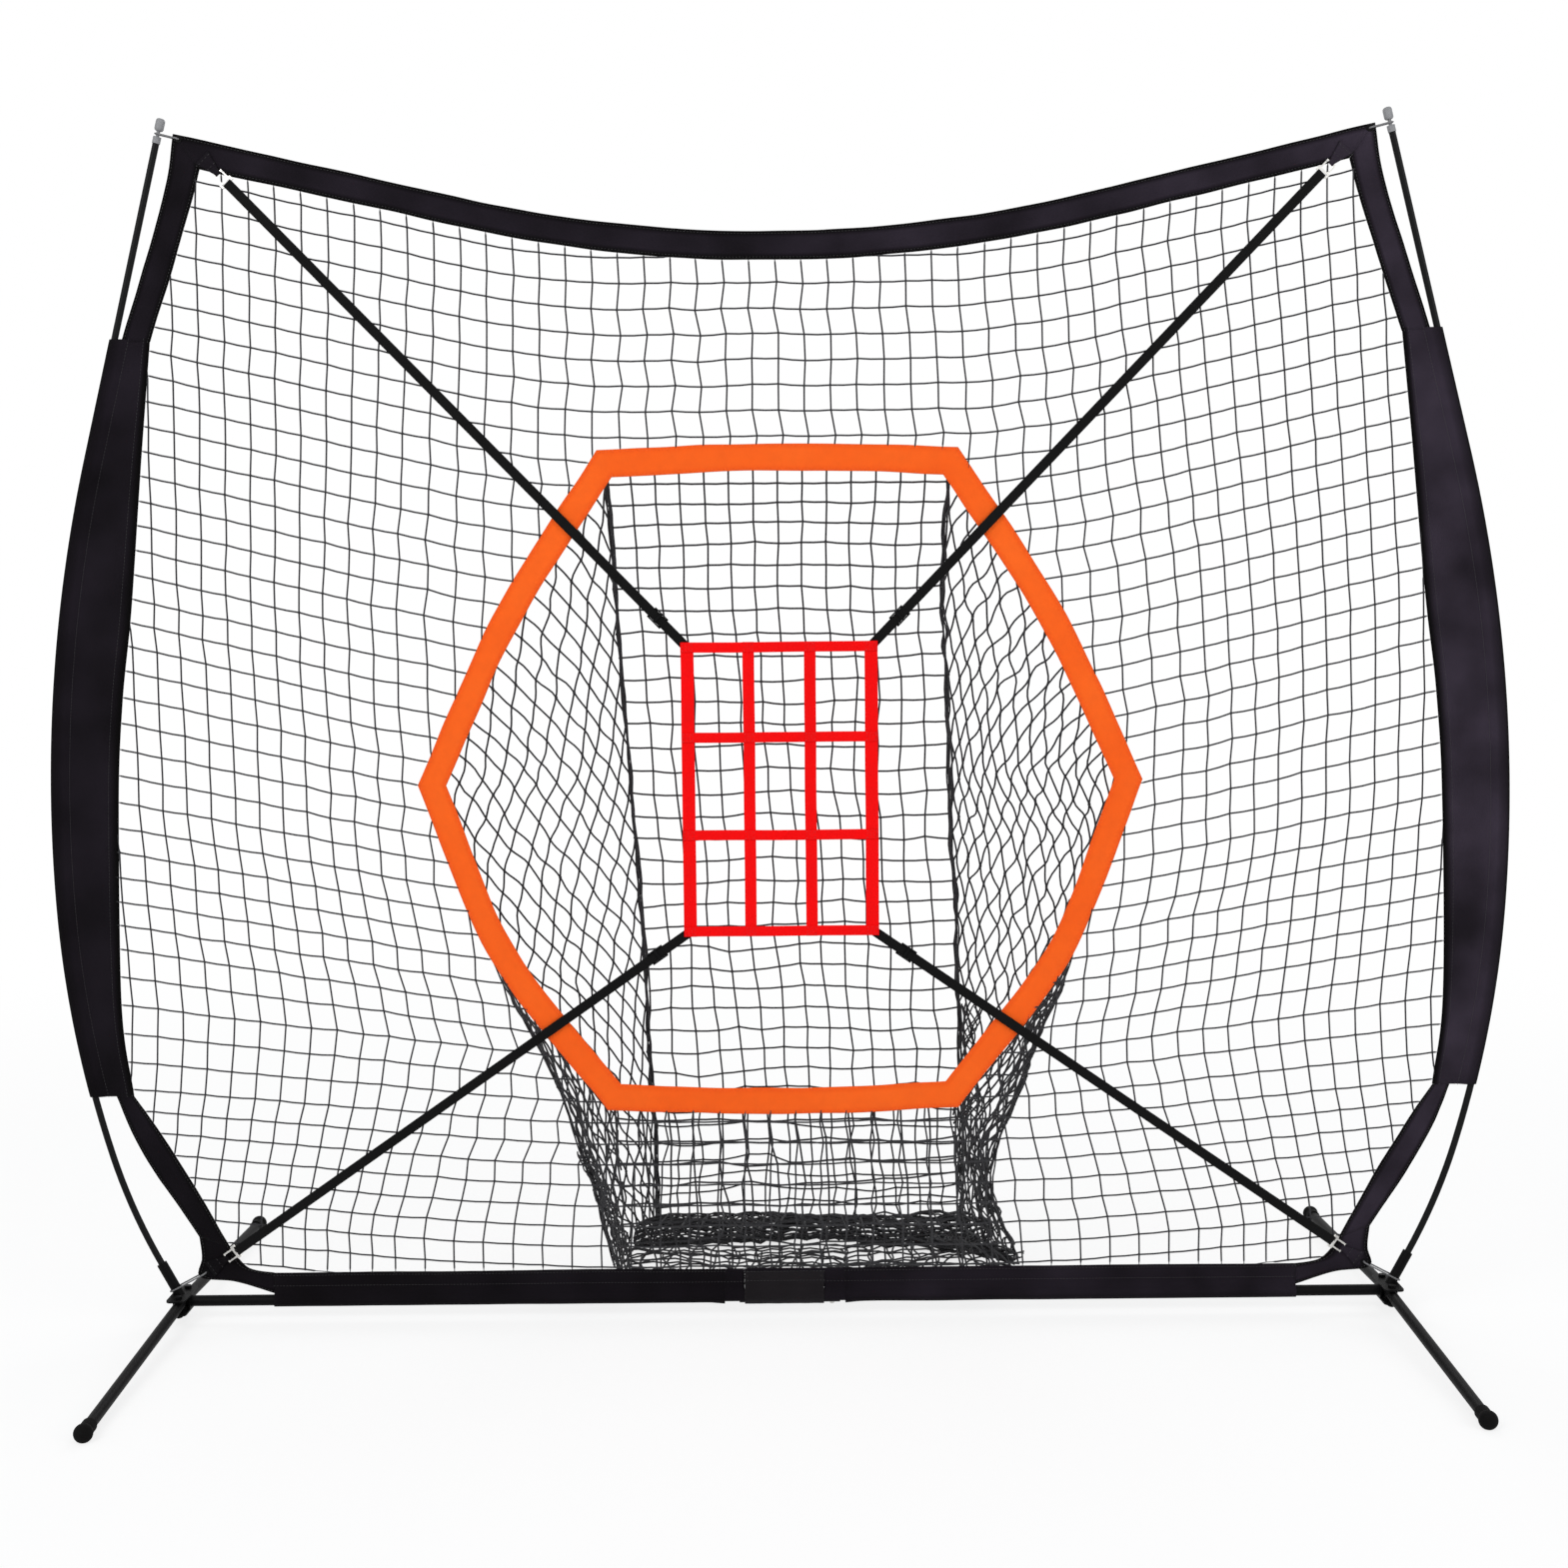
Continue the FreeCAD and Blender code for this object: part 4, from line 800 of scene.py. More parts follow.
def hemRing(x):
    radius = ramp(abs(x), [(bottom["wide"], bottom["flapRadius"]), (0.112, bottom["sleeve"])])
    radius += 0.0006 * wobble(x * 11, 1.0, 27.0) * min(1.0, (abs(x) - bottom["wide"]) * 20)
    around = [(y, 0.0, pole["bar"] - low) for low, y in arc(radius, (0, 35, 70, 105, 135, 155))]
    side = around + hemWeb(x)
    return [Vector((x, drift - thick, z)) for thick, drift, z in side] + [
        Vector((x, drift + thick, z)) for thick, drift, z in side[-2:0:-1]
    ]


def bayRing(x):
    around = [(y, 0.0, pole["bar"] + z) for y, z in arc(bottom["flapRadius"], (-24, 0, 25, 48, 66))]
    side = around + hemWeb(x)
    ring = [Vector((x, drift - thick, z)) for thick, drift, z in side]
    ring += [Vector((x, drift + thick, z)) for thick, drift, z in side[-2::-1]]
    bore = arc(bottom["bore"], (-26, 0, 30, 60, 90, 120, 150, 180, 206))
    return ring + [Vector((x, y, pole["bar"] + z)) for y, z in bore]


meshes = []
half, wide = bottom["half"], bottom["wide"]
flapGap = 0.0004
for start, end in ((-half, -wide), (wide, half)):
    rings = [hemRing(x) for x in steps(start, end, 70)]
    # Painted shade: darkest where the cloth wraps under the bar, a little dark on the upper web and back.
    meshes.append(loft("bottomHemSleeve", rings, middles=[0.5] * 3 + [0.8] * 7 + [0.6] * 14))
    sewRows(rings, (8, 10), (-8, -10))
for start, end in ((-wide, bottom["flapLow"] - flapGap), (bottom["flapHigh"] + flapGap, wide)):
    rings = [bayRing(x) for x in steps(start, end, 6)]
    meshes.append(loft("bottomHemBay", rings))
    sewRows(rings, (7,))
webHalf = bottom["flapHigh"] + 0.002
outer = [at(x, hemWeb(x)[-1][2]) for x in steps(-webHalf, webHalf, 16)]
inner = [at(p.x, bottom["bayLow"]) for p in outer]
meshes.append(loft("bottomHemWeb", [bandRing(a, b, 0.0016) for a, b in zip(outer, inner)]))
bottomHem = newPiece("bottomHem", joinMeshes("bottomHem", meshes), "border_fabric", "bottom_hem")


def flapRing(x):
    radius, bar, top = bottom["flapRadius"], pole["bar"], bottom["flapTop"]
    sag = abs(0.0008 * wobble(x * 45, 1.0, 31.0))
    profile = [(0.002, bar + radius - 0.0002)]
    profile += [(y, bar + z - sag) for y, z in arc(radius, (60, 25, -10, -45, -80, -115, -150, -175, -205))]
    profile += [(-0.0062, bar + 0.0125), (-0.0042, bar + 0.0165), (-0.0040, bar + 0.024)]
    profile += [(-0.0041, top - 0.004), (-0.0036, top), (-0.0024, top), (-0.0023, top - 0.006)]
    profile += [(-0.0023, bar + 0.020), (-0.0022, bar + radius + 0.0006)]
    return [Vector((x, y - 0.0004 * wobble(x * 50, z * 50, 33.0), z)) for y, z in profile]


rings = [flapRing(x) for x in steps(bottom["flapLow"], bottom["flapHigh"], 30)]
flap = newPiece("centreFlap", loft("centreFlap", rings), "flap_fabric", "centre_flap")
sewRows(rings, (14, 12))
for ring in (rings[1], rings[29]):
    stitchRows["blackThread"].append([ring[n] + Vector((0, -threadLift, 0)) for n in (12, 13, 14)])
print("border made")

# Band round the mouth
mouth = {
    "top": 1.282, "middle": 0.800, "bottom": 0.314, "half": 0.260, "side": 0.530, "band": 0.039,
    "upperBow": 0.019, "lowerBow": 0.037, "topArch": 0.007, "bottomSag": 0.008,
}


def bowed(a, b, bow):
    dx, dz = b[0] - a[0], b[1] - a[1]
    share = bow / math.hypot(dx, dz)
    return ((a[0] + b[0]) / 2 - dz * share, (a[1] + b[1]) / 2 + dx * share)


mouthCorners = [
    (mouth["half"], mouth["top"]), (mouth["side"], mouth["middle"]), (mouth["half"], mouth["bottom"]),
]
mouthRight = [
    mouthCorners[0], bowed(*mouthCorners[:2], mouth["upperBow"]),
    mouthCorners[1], bowed(*mouthCorners[1:], mouth["lowerBow"]), mouthCorners[2],
]
mouthOuter = mouthRight + [(-x, z) for x, z in mouthRight[::-1]]


def inset(points, distance):
    moved = []
    for k, here in enumerate(points):
        before, after = points[k - 1], points[(k + 1) % len(points)]
        normals = []
        for a, b in ((before, here), (here, after)):
            length = math.hypot(b[0] - a[0], b[1] - a[1])
            normals.append(((b[1] - a[1]) / length, -(b[0] - a[0]) / length))
        (ax, az), (bx, bz) = normals
        share = distance / (1 + ax * bx + az * bz)
        moved.append((here[0] + (ax + bx) * share, here[1] + (az + bz) * share))
    return moved


mouthInner = inset(mouthOuter, mouth["band"])
mouthMiddle = inset(mouthOuter, mouth["band"] / 2)
# Each strip is a smooth line from one corner to the next; the top one arches, the bottom one sags.
mouthStrips = ((0, 2, 0.0), (2, 4, 0.0), (4, 5, -mouth["bottomSag"]), (5, 7, 0.0), (7, 9, 0.0),
               (-1, 0, mouth["topArch"]))


def stripLine(points, first, last, bow):
    line = smoothPath([(x, 0.0, z) for x, z in (points[k] for k in range(first, last + 1))], 37)
    return [p + Vector((0, 0, bow * math.sin(math.pi * k / 36))) for k, p in enumerate(line)][:-1]


outer, inner = [], []
for strip in mouthStrips:
    outer += stripLine(mouthOuter, *strip)
    inner += stripLine(mouthInner, *strip)
outer, inner = wavy(outer, 0.0016, 41.0), wavy(inner, 0.0016, 43.0)
sewBand("mouthBand", outer, inner, 0.0017, "mouth_band", 1.2, closed=True)
print("mouth band made")


# Netting. A net's nodes are shared by the strands of both directions.
def edgeBetween(seen, hidden, inside):
    for _ in range(9):
        middle = (seen + hidden) / 2
        seen, hidden = (middle, hidden) if inside(middle) else (seen, middle)
    return seen, hidden


def clipped(line, inside):
    runs, run = [], []
    for a, b in zip(line, line[1:]):
        ina, inb = inside(a), inside(b)
        if ina and not run:
            run = [a]
        if ina != inb:
            edge = edgeBetween(*((a, b) if ina else (b, a)), inside)[0]
            if ina:
                runs.append(run + [edge])
                run = []
            else:
                run = [edge]
        if inb:
            run.append(b)
    if len(run) > 1:
        runs.append(run)
    return [r for r in runs if lengthOf(r) > 0.004]


netSpecs = {
    "face": {"twine": 0.00135, "joint": 0.002}, "pocket": {"twine": 0.00155, "joint": 0.0023},
    "seams": {"twine": 0.0013, "joint": 0.002},
}
faceNet = {"pitch": 0.0375, "columns": 27, "low": 0.066, "openLow": 0.0735}
rowPitch = [(0.1, 0.0308), (0.3, 0.032), (0.45, 0.033), (0.62, 0.0344), (0.82, 0.035), (1.0, 0.0362)]
rowSlope = [(0.17, 0.09), (0.30, 0.09), (0.45, 0.16), (0.62, 0.18), (0.85, 0.225)]
columnPush = [(0.12, -0.075), (0.2, -0.05), (0.3, -0.02), (0.45, 0.014), (0.66, 0.045), (0.95, 0.046),
              (1.5, 0.0)]
pushShare = [(0.1, 0.0), (0.53, 1.0), (0.77, 0.62), (0.95, 0.38)]
rowHeights = [0.045]
while rowHeights[-1] < 1.66:
    rowHeights.append(rowHeights[-1] + ramp(rowHeights[-1], rowPitch))
borderInside = [(0.060, 0.762), (0.073, 0.762), (0.080, 0.800), (0.111, 0.826), (0.208, 0.878)]
borderInside += [(0.275, 0.917)] + [(p.z, p.x) for p in sleeveCurve]
borderInside += [(1.621, 0.8355), (1.705, 0.818), (1.80, 0.815)]
netHole = [(z, x) for x, z in inset(mouthOuter, 0.012)[4::-1]]
openHole = [(z, x) for x, z in inset(mouthOuter, -0.0005)[4::-1]]


def inFace(p, under=1.0, hole=netHole):
    hemEdge = hemHeight(p.x, hem["width"]) + 0.008 * under
    lowEdge = faceNet["openLow"] + (faceNet["low"] - faceNet["openLow"]) * under
    within = abs(p.x) < ramp(p.z, borderInside) + 0.006 * under and lowEdge < p.z < hemEdge
    return within and not (hole[0][0] < p.z < hole[-1][0] and abs(p.x) < ramp(p.z, hole))


def showing(p):
    return inFace(p, -0.08, openHole)


# A strand is thinner and straighter where it is sewn under a band.
sewnPart = {"run": 0.003, "drift": 0.3, "thin": 0.5}


def underBands(run):
    out = [run[0]]
    for a, b in zip(run, run[1:]):
        if showing(a) != showing(b):
            start, end = (a, b) if showing(a) else (b, a)
            hidden = edgeBetween(start, end, showing)[1]
            toward = start - hidden
            pair = [hidden + toward * min(0.5, sewnPart["run"] / max(toward.length, 1e-6)), hidden]
            out += pair if showing(a) else pair[::-1]
        out.append(b)
    for p in out:
        if not showing(p):
            p.y *= sewnPart["drift"]
    return out


def facePoint(i, j):
    x, z = i * faceNet["pitch"], rowHeights[j]
    out = abs(x)
    outer = (out - 0.2) ** 2 / 0.5 if 0.2 < out < 0.45 else max(0.0, out - 0.325)
    x += math.copysign(ramp(z, columnPush) * ramp(out, pushShare), x)
    x += ramp(z, [(0.8, 0.018), (1.5, 0.0)])
    z += ramp(z, rowSlope) * outer
    near = max(0.0, 1.0 - abs(math.hypot(x / 0.53, (z - 0.8) / 0.6) - 1.0) * 2.2)
    pull = near * ramp(z, [(0.45, 1.0), (0.85, 0.45)])
    turn = 1.0 if j % 2 else -1.0
    x += pull * 0.0042 * turn * (0.7 + 0.8 * wobble(j * 0.31, i * 0.13, 1.7))
    x += 0.0030 * (0.7 + 1.3 * near) * wobble(j * 0.93, i * 0.11, 3.3)
    z += 0.0022 * (0.7 + near) * wobble(i * 0.87, j * 0.12, 7.7)
    x += 0.0016 * wobble(i * 0.8, j * 0.8, 17.1)
    z += 0.0016 * wobble(i * 0.8, j * 0.8, 27.1)
    y = 0.0006 * wobble(i * 0.3, j * 0.3, 37.1)
    return Vector((x, y, z))


def halved(line):
    out = []
    for a, b in zip(line, line[1:]):
        out += [a, (a + b) / 2 + Vector((0, 0, -0.0006))]
    return out + [line[-1]]


def netPiece(name, lines, crossings, spec, replaced, flat=None, held="hung", restsOn=("mouthBand",),
             slim=None):
    source, spec = lineObject(name + "Lines", lines, crossings, slim), netSpecs[spec]
    piece = madeByTree(name, source, netting, TwineRadius=spec["twine"], JointRadius=spec["joint"],
                       Material=materials["black_netting"])
    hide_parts(*replaced)
    print(name, len(lines), "strands,", round(sum(lengthOf(line) for line in lines), 2), "m of twine")
    if flat:
        list(restsOn)


def gridLines(point, columns, rows, inside=lambda p: True, shown=None):
    lines = []
    for j in range(rows[0], rows[1] + 1):
        for i in range(columns[0], columns[1]):
            lines += clipped(halved([point(i, j), point(i + 1, j)]), inside)
    crossings = []
    for i in range(columns[0], columns[1] + 1):
        column = [point(i, j) for j in range(rows[0], rows[1] + 1)]
        lines += clipped(column, inside)
        crossings += [p.copy() for p in column if (shown or inside)(p)]
    return lines, crossings


span = faceNet["columns"]
lines, crossings = gridLines(facePoint, (-span, span), (0, len(rowHeights) - 1), inFace, showing)
netPiece(
    "faceNet", [underBands(line) for line in lines], crossings, "face",
    ("face_net_top", "face_net_bottom", "face_net_upper_left", "face_net_upper_right",
     "face_net_lower_left", "face_net_lower_right"),
    (1.88, 1.56), "stretched", ["top_hem", "side_sleeve_left", "side_sleeve_right"],
    lambda p: 1.0 if showing(p) else sewnPart["thin"],
)
print("face net made")

# Pocket behind the mouth
behind = 0.0030
backStations = (
    (-mouthMiddle[0][0], mouthMiddle[0][0], behind, mouthMiddle[0][1]),
    (-0.247, 0.247, 0.105, 1.120), (-0.238, 0.258, 0.170, 0.900), (-0.221, 0.274, 0.222, 0.560),
    (-0.211, 0.289, 0.300, 0.240), (-0.216, 0.300, 0.424, 0.018),
)
backEdges = {
    side: smoothPath([(right if side > 0 else left, y, z) for left, right, y, z in backStations], 121)
    for side in (-1, 1)
}


def onPath(path, share):
    place = min(max(share, 0.0), 1.0) * (len(path) - 1)
    k = min(int(place), len(path) - 2)
    return path[k].lerp(path[k + 1], place - k)


def crumple(p, amount, seed):
    fine = Vector([wobble(p.x * 27 + n * 5, p.y * 27 + seed, p.z * 27 - n * 3) for n in range(3)])
    broad = Vector([wobble(p.x * 8 - n * 5, p.y * 8 + seed, p.z * 8 + n * 3) for n in range(3)])
    return p + (fine * 0.55 + broad) * amount


def backPoint(i, j, columns=14, rows=37):
    share, across = j / rows, 2.0 * i / columns - 1.0
    p = onPath(backEdges[-1], share).lerp(onPath(backEdges[1], share), i / columns)
    p.y += 0.016 * (1 - across ** 2) * math.sin(math.pi * share)
    amount = ramp(share, [(0.0, 0.001), (0.1, 0.006), (0.7, 0.010), (1.0, 0.014)])
    moved = crumple(p, amount, 51.0)
    moved.z = max(moved.z, 0.004)
    return moved


netPiece("pocketBack", *gridLines(backPoint, (0, 14), (0, 37)), "pocket", ["pocket_back_net"], (0.52, 1.36))


# Side nets. At each height a section runs from the back seam over the outer fold to the mouth's edge.
folds = {
    1: {"bulge": (0.321, 0.125, 0.188), "ground": (0.368, 0.213, 0.018), "front": (0.272, 0.116, 0.018),
        "hip": 0.008},
    -1: {"bulge": (-0.336, 0.112, 0.300), "ground": (-0.272, 0.213, 0.018), "front": (-0.238, 0.116, 0.018),
         "hip": 0.02},
}
sideNet = {"up": (-0.0155, 0.0335), "down": (-0.0285, -0.0272), "count": 150, "low": 0.006, "start": 0.7,
           "jitter": {1: 0.011, -1: 0.006}, "reach": 75, "widest": 0.95, "highest": 1.30, "spare": 0.04}
flatRise = [(0.0, 0.0), (0.35, 0.2), (0.7, 0.48), (0.9, 0.78), (1.0, 1.0)]
foldRise = [(0.0, 0.0), (0.05, 0.3), (0.12, 0.45), (0.5, 0.6), (0.85, 0.8), (1.0, 1.0)]
riseShares = (1.0, 0.95, 0.9, 0.8, 0.7, 0.5, 0.35, 0.2, 0.12, 0.05, 0.0)
gathers = {
    1: [(0.02, 0.62), (0.28, 0.62), (0.5, 0.5), (0.8, 0.52), (1.15, 0.85)],
    -1: [(0.02, 0.5), (0.28, 0.52), (0.5, 0.66), (0.8, 0.72), (1.15, 0.9)],
}


def atHeight(path, z):
    rising = path[::-1]
    return Vector((ramp(z, [(p.z, p.x) for p in rising]), ramp(z, [(p.z, p.y) for p in rising]), z))


def sideSections(edge, outline, seam):
    sections, low, high = [], sideNet["low"], edge[0].z
    for z in steps(low, high, sideNet["count"]):
        edgePoint, seamPoint = atHeight(edge, z), atHeight(seam, z)
        foldPoint = atHeight(outline, z) if z < outline[0].z else edgePoint
        folded = ramp(z, [(0.70, 1.0), (0.82, 0.0)])
        points = []
        for share in riseShares:
            p = foldPoint.lerp(seamPoint, share)
            rise = ramp(share, foldRise) * folded + ramp(share, flatRise) * (1.0 - folded)
            p.y = foldPoint.y + (seamPoint.y - foldPoint.y) * rise
            points.append(p)
        if (edgePoint - foldPoint).length > 0.004:
            points.append(edgePoint)
        if (points[-1] - points[0]).length < 0.002:
            points = [seamPoint, seamPoint + Vector((0, -0.002, 0))]
        path = smoothPath(points, 41)
        sections.append((path, lengthOf(path)))
    return sections, low, high


def sideLines(sections, low, high, side):
    seed = 61.0 + side
    (upW, upZ), (downW, downZ) = sideNet["up"], sideNet["down"]
    reach, jitter, spare = sideNet["reach"], sideNet["jitter"][side], sideNet["spare"]

    def sectionAt(z):
        place = min(max((z - low) / (high - low), 0.0), 0.99999) * (len(sections) - 1)
        k = int(place)
        return sections[k], sections[k + 1], place - k

    def widthAt(z):
        first, second, share = sectionAt(z)
        return (first[1] + (second[1] - first[1]) * share) / ramp(z, gathers[side])

    def inside(p):
        return low <= p.y <= high and 0.0 <= p.x <= widthAt(p.y)

    def latticePoint(i, j):
        w, z = i * upW + j * downW, sideNet["start"] + i * upZ + j * downZ
        if not (-spare < w < sideNet["widest"] and -spare < z < sideNet["highest"]):
            return None
        drift = [jitter * wobble(i * 0.9 + n * 31, j * 0.9, seed) for n in (0, 1)]
        return Vector((w + drift[0], z + drift[1], 0.0))

    def place(p):
        first, second, share = sectionAt(p.y)
        part = min(max(p.x / max(widthAt(p.y), 1e-6), 0.0), 1.0)
        spot = onPath(first[0], part).lerp(onPath(second[0], part), share)
        loose = math.sin(math.pi * part) * ramp(p.y, [(0.3, 0.011), (0.8, 0.004)])
        spot = crumple(spot, 0.001 + loose, seed)
        spot.y = max(spot.y, behind)
        spot.z = max(spot.z, 0.003)
        return spot

    def mapped(points):
        near = [p for p in points if p is not None]
        return [[place(p) for p in run] for run in clipped(near, inside)] if len(near) > 1 else []

    lines, crossings = [], []
    for j in range(-reach, reach + 1):
        lines += mapped([latticePoint(i / 4, j) for i in range(-4 * reach, 4 * reach + 1)])
    for i in range(-reach, reach + 1):
        for j in range(-reach, reach):
            if latticePoint(i, j) is not None:
                lines += mapped([latticePoint(i, j + n / 4) for n in range(5)])
                if inside(latticePoint(i, j)):
                    crossings.append(place(latticePoint(i, j)))
    return lines, crossings


def bundle(path, count, radius, loose, seed):
    strands = []
    for strand in range(count):
        line = []
        for k, p in enumerate(path):
            turn = k * 0.35 + 2 * math.pi * strand / count
            moved = crumple(p + Vector((radius * math.cos(turn), radius * math.sin(turn), 0)), loose,
                            seed + 0.3 * strand)
            moved.z = max(moved.z, 0.004)
            moved.y = max(moved.y, behind + 0.001)
            line.append(moved)
        strands.append(line)
    return strands


# Where the netting is bunched: the strands' path, number, radius and looseness
bunches = (
    (((0.41, 0.09, 0.50), (0.37, 0.115, 0.36), (0.315, 0.15, 0.19), (0.33, 0.19, 0.06)), 5, 0.010, 0.013),
    (((0.30, 0.23, 0.42), (0.30, 0.22, 0.30), (0.305, 0.20, 0.17), (0.325, 0.2, 0.05)), 7, 0.011, 0.013),
    (((0.245, 0.28, 0.025), (0.305, 0.22, 0.035), (0.362, 0.205, 0.016)), 24, 0.014, 0.013),
    (((-0.31, 0.14, 0.22), (-0.275, 0.16, 0.12), (-0.25, 0.20, 0.03)), 5, 0.009, 0.012),
)

seams = []
for side in (1, -1):
    edge = [Vector((side * x, behind, z)) for x, z in mouthMiddle[:5]]
    edge.append(Vector(folds[side]["front"]))
    vertex, bulge, ground = edge[2], Vector(folds[side]["bulge"]), Vector(folds[side]["ground"])
    hip = vertex.lerp(bulge, 0.5) + Vector((side * folds[side]["hip"], 0.01, 0))
    outline = smoothPath([vertex, hip, bulge, ground], 71)
    seam = backEdges[side]
    netPiece("pocketSide" + sideLabel[side], *sideLines(*sideSections(edge, outline, seam), side), "pocket",
             ["pocket_side_net_" + sideName[side]], (0.34, 1.36))
    loose = 0.004 if side < 0 else 0.008
    seams += bundle(seam, 5, 0.0022, loose, 81.0) + bundle(outline, 3, 0.002, 0.004, 85.0)
for stations, count, radius, loose in bunches:
    seams += bundle(smoothPath(stations, 60), count, radius, loose, 87.0)
netPiece("pocketSeams", seams, (), "seams", ["pocket_back_net"])

# Netting that hangs from the mouth's lower edge, and the slack of the pocket on the ground
hang = {"top": mouthMiddle[4][1], "left": -0.238, "right": 0.272, "foot": 0.018, "depth": 0.116}


def hangPoint(i, j, columns=13, rows=9):
    share, across = j / rows, i / columns
    wide = mouthMiddle[4][0]
    left = -wide + (hang["left"] + wide) * share
    right = wide + (hang["right"] - wide) * share
    y = behind + (hang["depth"] - behind) * share ** 1.3
    z = hang["top"] + (hang["foot"] - hang["top"]) * share
    z -= mouth["bottomSag"] * math.sin(math.pi * across) * (1.0 - share)
    moved = crumple(Vector((left + (right - left) * across, y, z)), 0.004 + 0.016 * share, 91.0)
    moved.y = max(moved.y, 0.0035)
    moved.z = max(moved.z, 0.003)
    return moved


netPiece("pocketFront", *gridLines(hangPoint, (0, 13), (0, 9)), "pocket", ["pocket_floor_net"], (0.48, 0.33))

slack = {"front": 0.120, "middle": 0.310, "back": 0.424, "low": 0.004, "columns": 17, "rows": 20,
         "floors": 2, "rolls": 2}


def slackSides(y):
    left = ramp(y, [(0.116, -0.234), (0.215, -0.268), (0.424, -0.213)])
    right = ramp(y, [(0.116, 0.268), (0.215, 0.362), (0.424, 0.296)])
    return left, right


def slackPoint(i, j, layer):
    share, across = j / slack["rows"], i / slack["columns"]
    if layer < slack["floors"]:
        y = slack["front"] + (slack["middle"] + 0.02 * layer - slack["front"]) * share
        z = 0.007 + 0.004 * layer + 0.014 * wobble(across * 5, y * 14, 9.0 + layer)
        amount = 0.010 + 0.006 * layer
    else:
        roll = layer - slack["floors"] + 1
        turn = 2 * math.pi * (0.9 + 0.5 * roll) * share + 3.0 * wobble(across * 3.1, roll * 3.0, 1.0)
        size = 0.55 + 0.45 * wobble(across * 4.3, roll * 5.0, 4.0) + 0.12 * roll
        y = 0.346 + (0.028 + 0.012 * roll) * math.cos(turn)
        z = 0.006 + 0.022 * size * (1.0 + math.sin(turn))
        amount = 0.014
    left, right = slackSides(y)
    x = left + (right - left) * across
    moved = crumple(Vector((x, y, z)), amount, 95.0 + layer)
    moved.z = max(moved.z, slack["low"] + 0.003 * wobble(x * 40, y * 40, 2.0))
    moved.y = min(moved.y, slack["back"])
    return moved


layers, crossings = [], []
for layer in range(slack["floors"] + slack["rolls"]):
    step = 3 if layer < slack["floors"] else 1
    grid = [[slackPoint(i, j, layer) for j in range(0, slack["rows"] + 1, step)]
            for i in range(slack["columns"] + 1)]
    layers += [smoothPath(column, 3 * len(column)) for column in grid]
    for before, after in zip(grid, grid[1:]):
        layers += [[a, (a + b) / 2 + Vector((0, 0.002, 0.002)), b] for a, b in zip(before, after)]
    crossings += [p for column in grid for p in column]
netPiece("pocketSlack", layers, crossings, "pocket", ["pocket_floor_net"], (1.7, 0.6), "gathered",
         ["pocketFront"])
print("pocket made")


# Webbing: a flat band with rounded edges that follows a path
webSection = ((-1.0, 0.0), (-0.95, 0.42), (-0.8, 0.5), (0.0, 0.46), (0.8, 0.5), (0.95, 0.42),
              (1.0, 0.0), (0.95, -0.42), (0.8, -0.5), (0.0, -0.46), (-0.8, -0.5), (-0.95, -0.42))
# Painted shade at the webbing's rounded edges.
webMiddles = [0.2, 0.7, 1.0, 1.0, 1.0, 0.7] * 2


def webbing(name, path, acrossAt, halves, thickness):
    rings, across = [], acrossAt.normalized()
    for k, here in enumerate(path):
        before, after = path[max(k - 1, 0)], path[min(k + 1, len(path) - 1)]
        normal = (after - before).cross(across).normalized()
        half = halves[k] if isinstance(halves, list) else halves
        rings.append([here + across * half * w + normal * thickness * t for w, t in webSection])
    return loft(name, rings, middles=webMiddles)


target = {
    "half": 0.143, "low": 0.5735, "high": 1.0045, "thickness": 0.00115, "uprightY": -0.0072, "rungY": -0.0084,
    "uprights": ((-0.1335, 0.0095), (-0.0445, 0.0085), (0.0445, 0.0085), (0.1335, 0.0095)),
    "rungs": (0.997, 0.866, 0.723, 0.581), "rungHalf": 0.0075,
}
uprights, rungs = [], []
for x, half in target["uprights"]:
    path = [Vector((x + 0.0006 * wobble(x * 30, z * 9, 1.0), target["uprightY"], z))
            for z in steps(target["low"], target["high"], 60)]
    uprights.append(webbing("upright", path, Vector((1, 0, 0)), half, target["thickness"]))
for z in target["rungs"]:
    path = [Vector((x, target["rungY"], z + 0.0007 * wobble(x * 9, z * 30, 4.0)))
            for x in steps(-target["half"], target["half"], 40)]
    rungs.append(webbing("rung", path, Vector((0, 0, 1)), target["rungHalf"], target["thickness"]))
for name, meshes, node, flat, restsOn in (
    ("targetUprights", uprights, "target_uprights", (0.072, 0.431), "hanging_straps"),
    ("targetRungs", rungs, "target_rungs", (0.060, 0.286), "target_uprights"),
):
    piece = newPiece(name, joinMeshes(name, meshes), "red_webbing", node)
for x, half in target["uprights"]:
    for z in target["rungs"]:
        y = target["rungY"] - target["thickness"] / 2 - threadLift
        w, h = half * 0.72, target["rungHalf"] * 0.68
        for row in (((-w, -h), (w, -h), (w, h), (-w, h), (-w, -h)), ((-w, -h), (w, h)), ((-w, h), (w, -h))):
            stitchRows["redThread"].append([Vector((x + dx, y, z + dz)) for dx, dz in row])

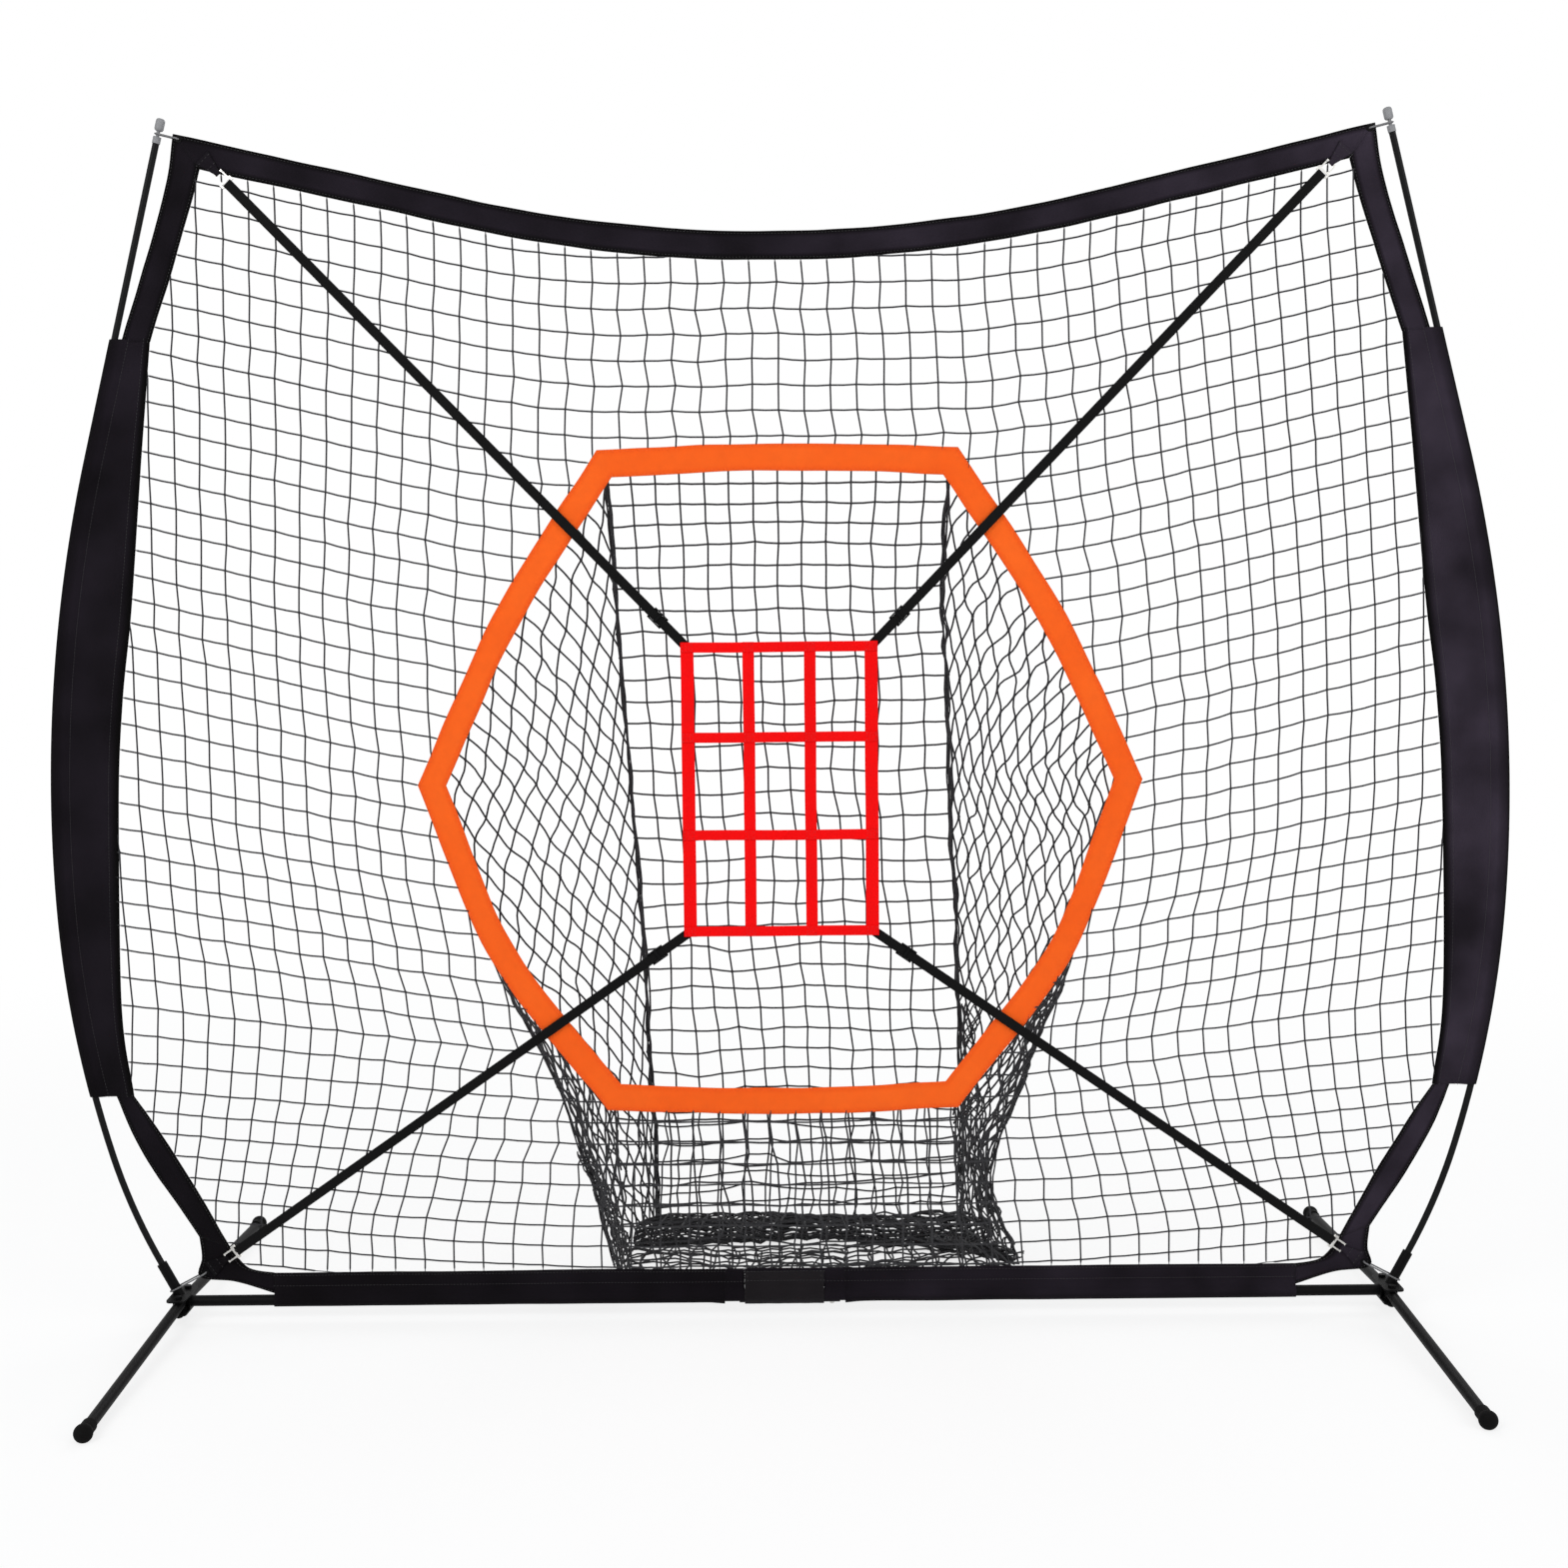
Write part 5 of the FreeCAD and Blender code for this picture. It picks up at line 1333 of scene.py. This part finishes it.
# Straps from the target's corners to the hooks, the hooks' tabs, and the loops on the poles
strapSpec = {
    "plane": -0.0054, "half": 0.007, "layer": 0.00105, "gap": 0.00062, "loop": 0.0020,
    "tabHalf": 0.0044, "tabEndHalf": 0.013, "hook": 0.0202, "tabEnd": 0.052,
}
strapRuns = {"Upper": ((0.1335, 0.997), (0.777, 1.661)), "Lower": ((0.1335, 0.581), (0.814, 0.108))}
for level, ((x0, z0), (x1, z1)) in strapRuns.items():
    for side in (1, -1):
        label = level + sideLabel[side]
        start, end = Vector((side * x0, 0, z0)), Vector((side * x1, 0, z1))
        along = (end - start).normalized()
        across = Vector((-along.z, 0, along.x))
        length = (end - start).length

        def inPlace(s, h):
            return end + along * s + Vector((0, strapSpec["plane"] + h, 0))

        gap, loop = strapSpec["gap"], strapSpec["loop"]
        runs = [-length * (1 - k / 60) for k in range(60)] + [-0.008, -0.006, -0.0045, -0.003, -0.0015]
        spread = [(-0.008, gap), (-0.0045, gap * 1.5), (-0.0015, loop * 0.92), (0.0, loop)]
        path = [inPlace(s, -ramp(s, spread)) for s in runs]
        path += [inPlace(s, h) for s, h in arc(loop, range(-90, 91, 15))]
        path += [inPlace(s, ramp(s, spread)) for s in reversed(runs)]
        mesh = webbing("strap", path, across, strapSpec["half"], strapSpec["layer"])
        strap = newPiece("hangingStrap" + label, mesh, "black_webbing", "hanging_straps")
        round(lengthOf(path), 4)

        hook, tabEnd = strapSpec["hook"], strapSpec["tabEnd"]
        widening = [(0.0227, strapSpec["tabHalf"]), (tabEnd, strapSpec["tabEndHalf"])]
        route = [(tabEnd, 0.0020), (0.040, 0.0020), (0.030, 0.0019), (0.0265, 0.0012), (0.0235, -0.0006)]
        route += [(hook + 0.0015, -0.0017), (hook, -0.0020)]
        route += [(hook + s, h) for s, h in arc(loop, range(-120, -241, -20))]
        route += [(hook, 0.0020), (hook + 0.0025, 0.0024), (0.0260, 0.0029), (0.030, 0.0031)]
        route += [(0.040, 0.0032), (tabEnd, 0.0032)]
        path = [inPlace(s, h) for s, h in route]
        mesh = webbing("tab", path, across, [ramp(s, widening) for s, h in route], strapSpec["layer"])
        tab = newPiece("cornerTab" + label, mesh, "border_fabric", "corner_tabs")
        round(lengthOf(path), 4)
        round(lengthOf(path) * 0.0165, 6)
        for s in (0.034, 0.048):
            half = 0.8 * ramp(s, widening)
            stitchRows["blackThread"].append([inPlace(s, 0.0014) + across * (half * t) for t in (-1.0, 1.0)])
loopSpec = {"thickness": 0.0024, "base": (0.022, 0.0090, 0.052), "tip": (poleEnd + 0.0055, 0.0041, 0.030)}
for place, (distance, radius, reach) in (("Base", loopSpec["base"]), ("Tip", loopSpec["tip"])):
    for side in (1, -1):
        x, z, lean = polePlace(distance)
        inward = Vector((-math.cos(lean), 0, math.sin(lean)))
        inward.x *= side
        centre = Vector((side * x, 0, z))
        corner = radius * math.tan(math.radians(22.5))
        half = [(reach, 0.0), (reach, -0.75 * radius), (reach - 0.8 * radius, -radius)]
        half += [(0.4 * reach, -radius), (0.2 * reach, -radius), (-corner, -radius), (-radius, -corner)]
        route = half + [(a, -b) for a, b in reversed(half)]
        line = bpy.data.curves.new("elasticLoop", "CURVE")
        for key, value in (("dimensions", "3D"), ("bevel_depth", loopSpec["thickness"] / 2),
                           ("bevel_resolution", 3), ("resolution_u", 10), ("use_fill_caps", True)):
            setattr(line, key, value)
        spline = line.splines.new("NURBS")
        spline.points.add(len(route) - 1)
        for point, (a, b) in zip(spline.points, route):
            point.co = (*(centre + inward * a + Vector((0, b, 0))), 1.0)
        spline.order_u = 3
        spline.use_endpoint_u = True
        elastic = newPiece("elasticLoop" + place + sideLabel[side], line, "grey_elastic", "elastic_loops")
        length = 2 * math.pi * radius + 2 * (reach - radius)
print("target, straps and loops made")

# Seams, sewn along the rows that the cloth pieces gave
seamSpec = {"pitch": 0.0048, "length": 0.0036, "radius": 0.00032}
for thread, lines in stitchRows.items():
    sewn = madeByTree(thread + "Seams", lineObject(thread + "Rows", lines), rows, Pitch=seamSpec["pitch"],
                      Length=seamSpec["length"], Radius=seamSpec["radius"], Material=threads[thread])
    print(sewn.name, len(sewn.data.polygons), "faces")
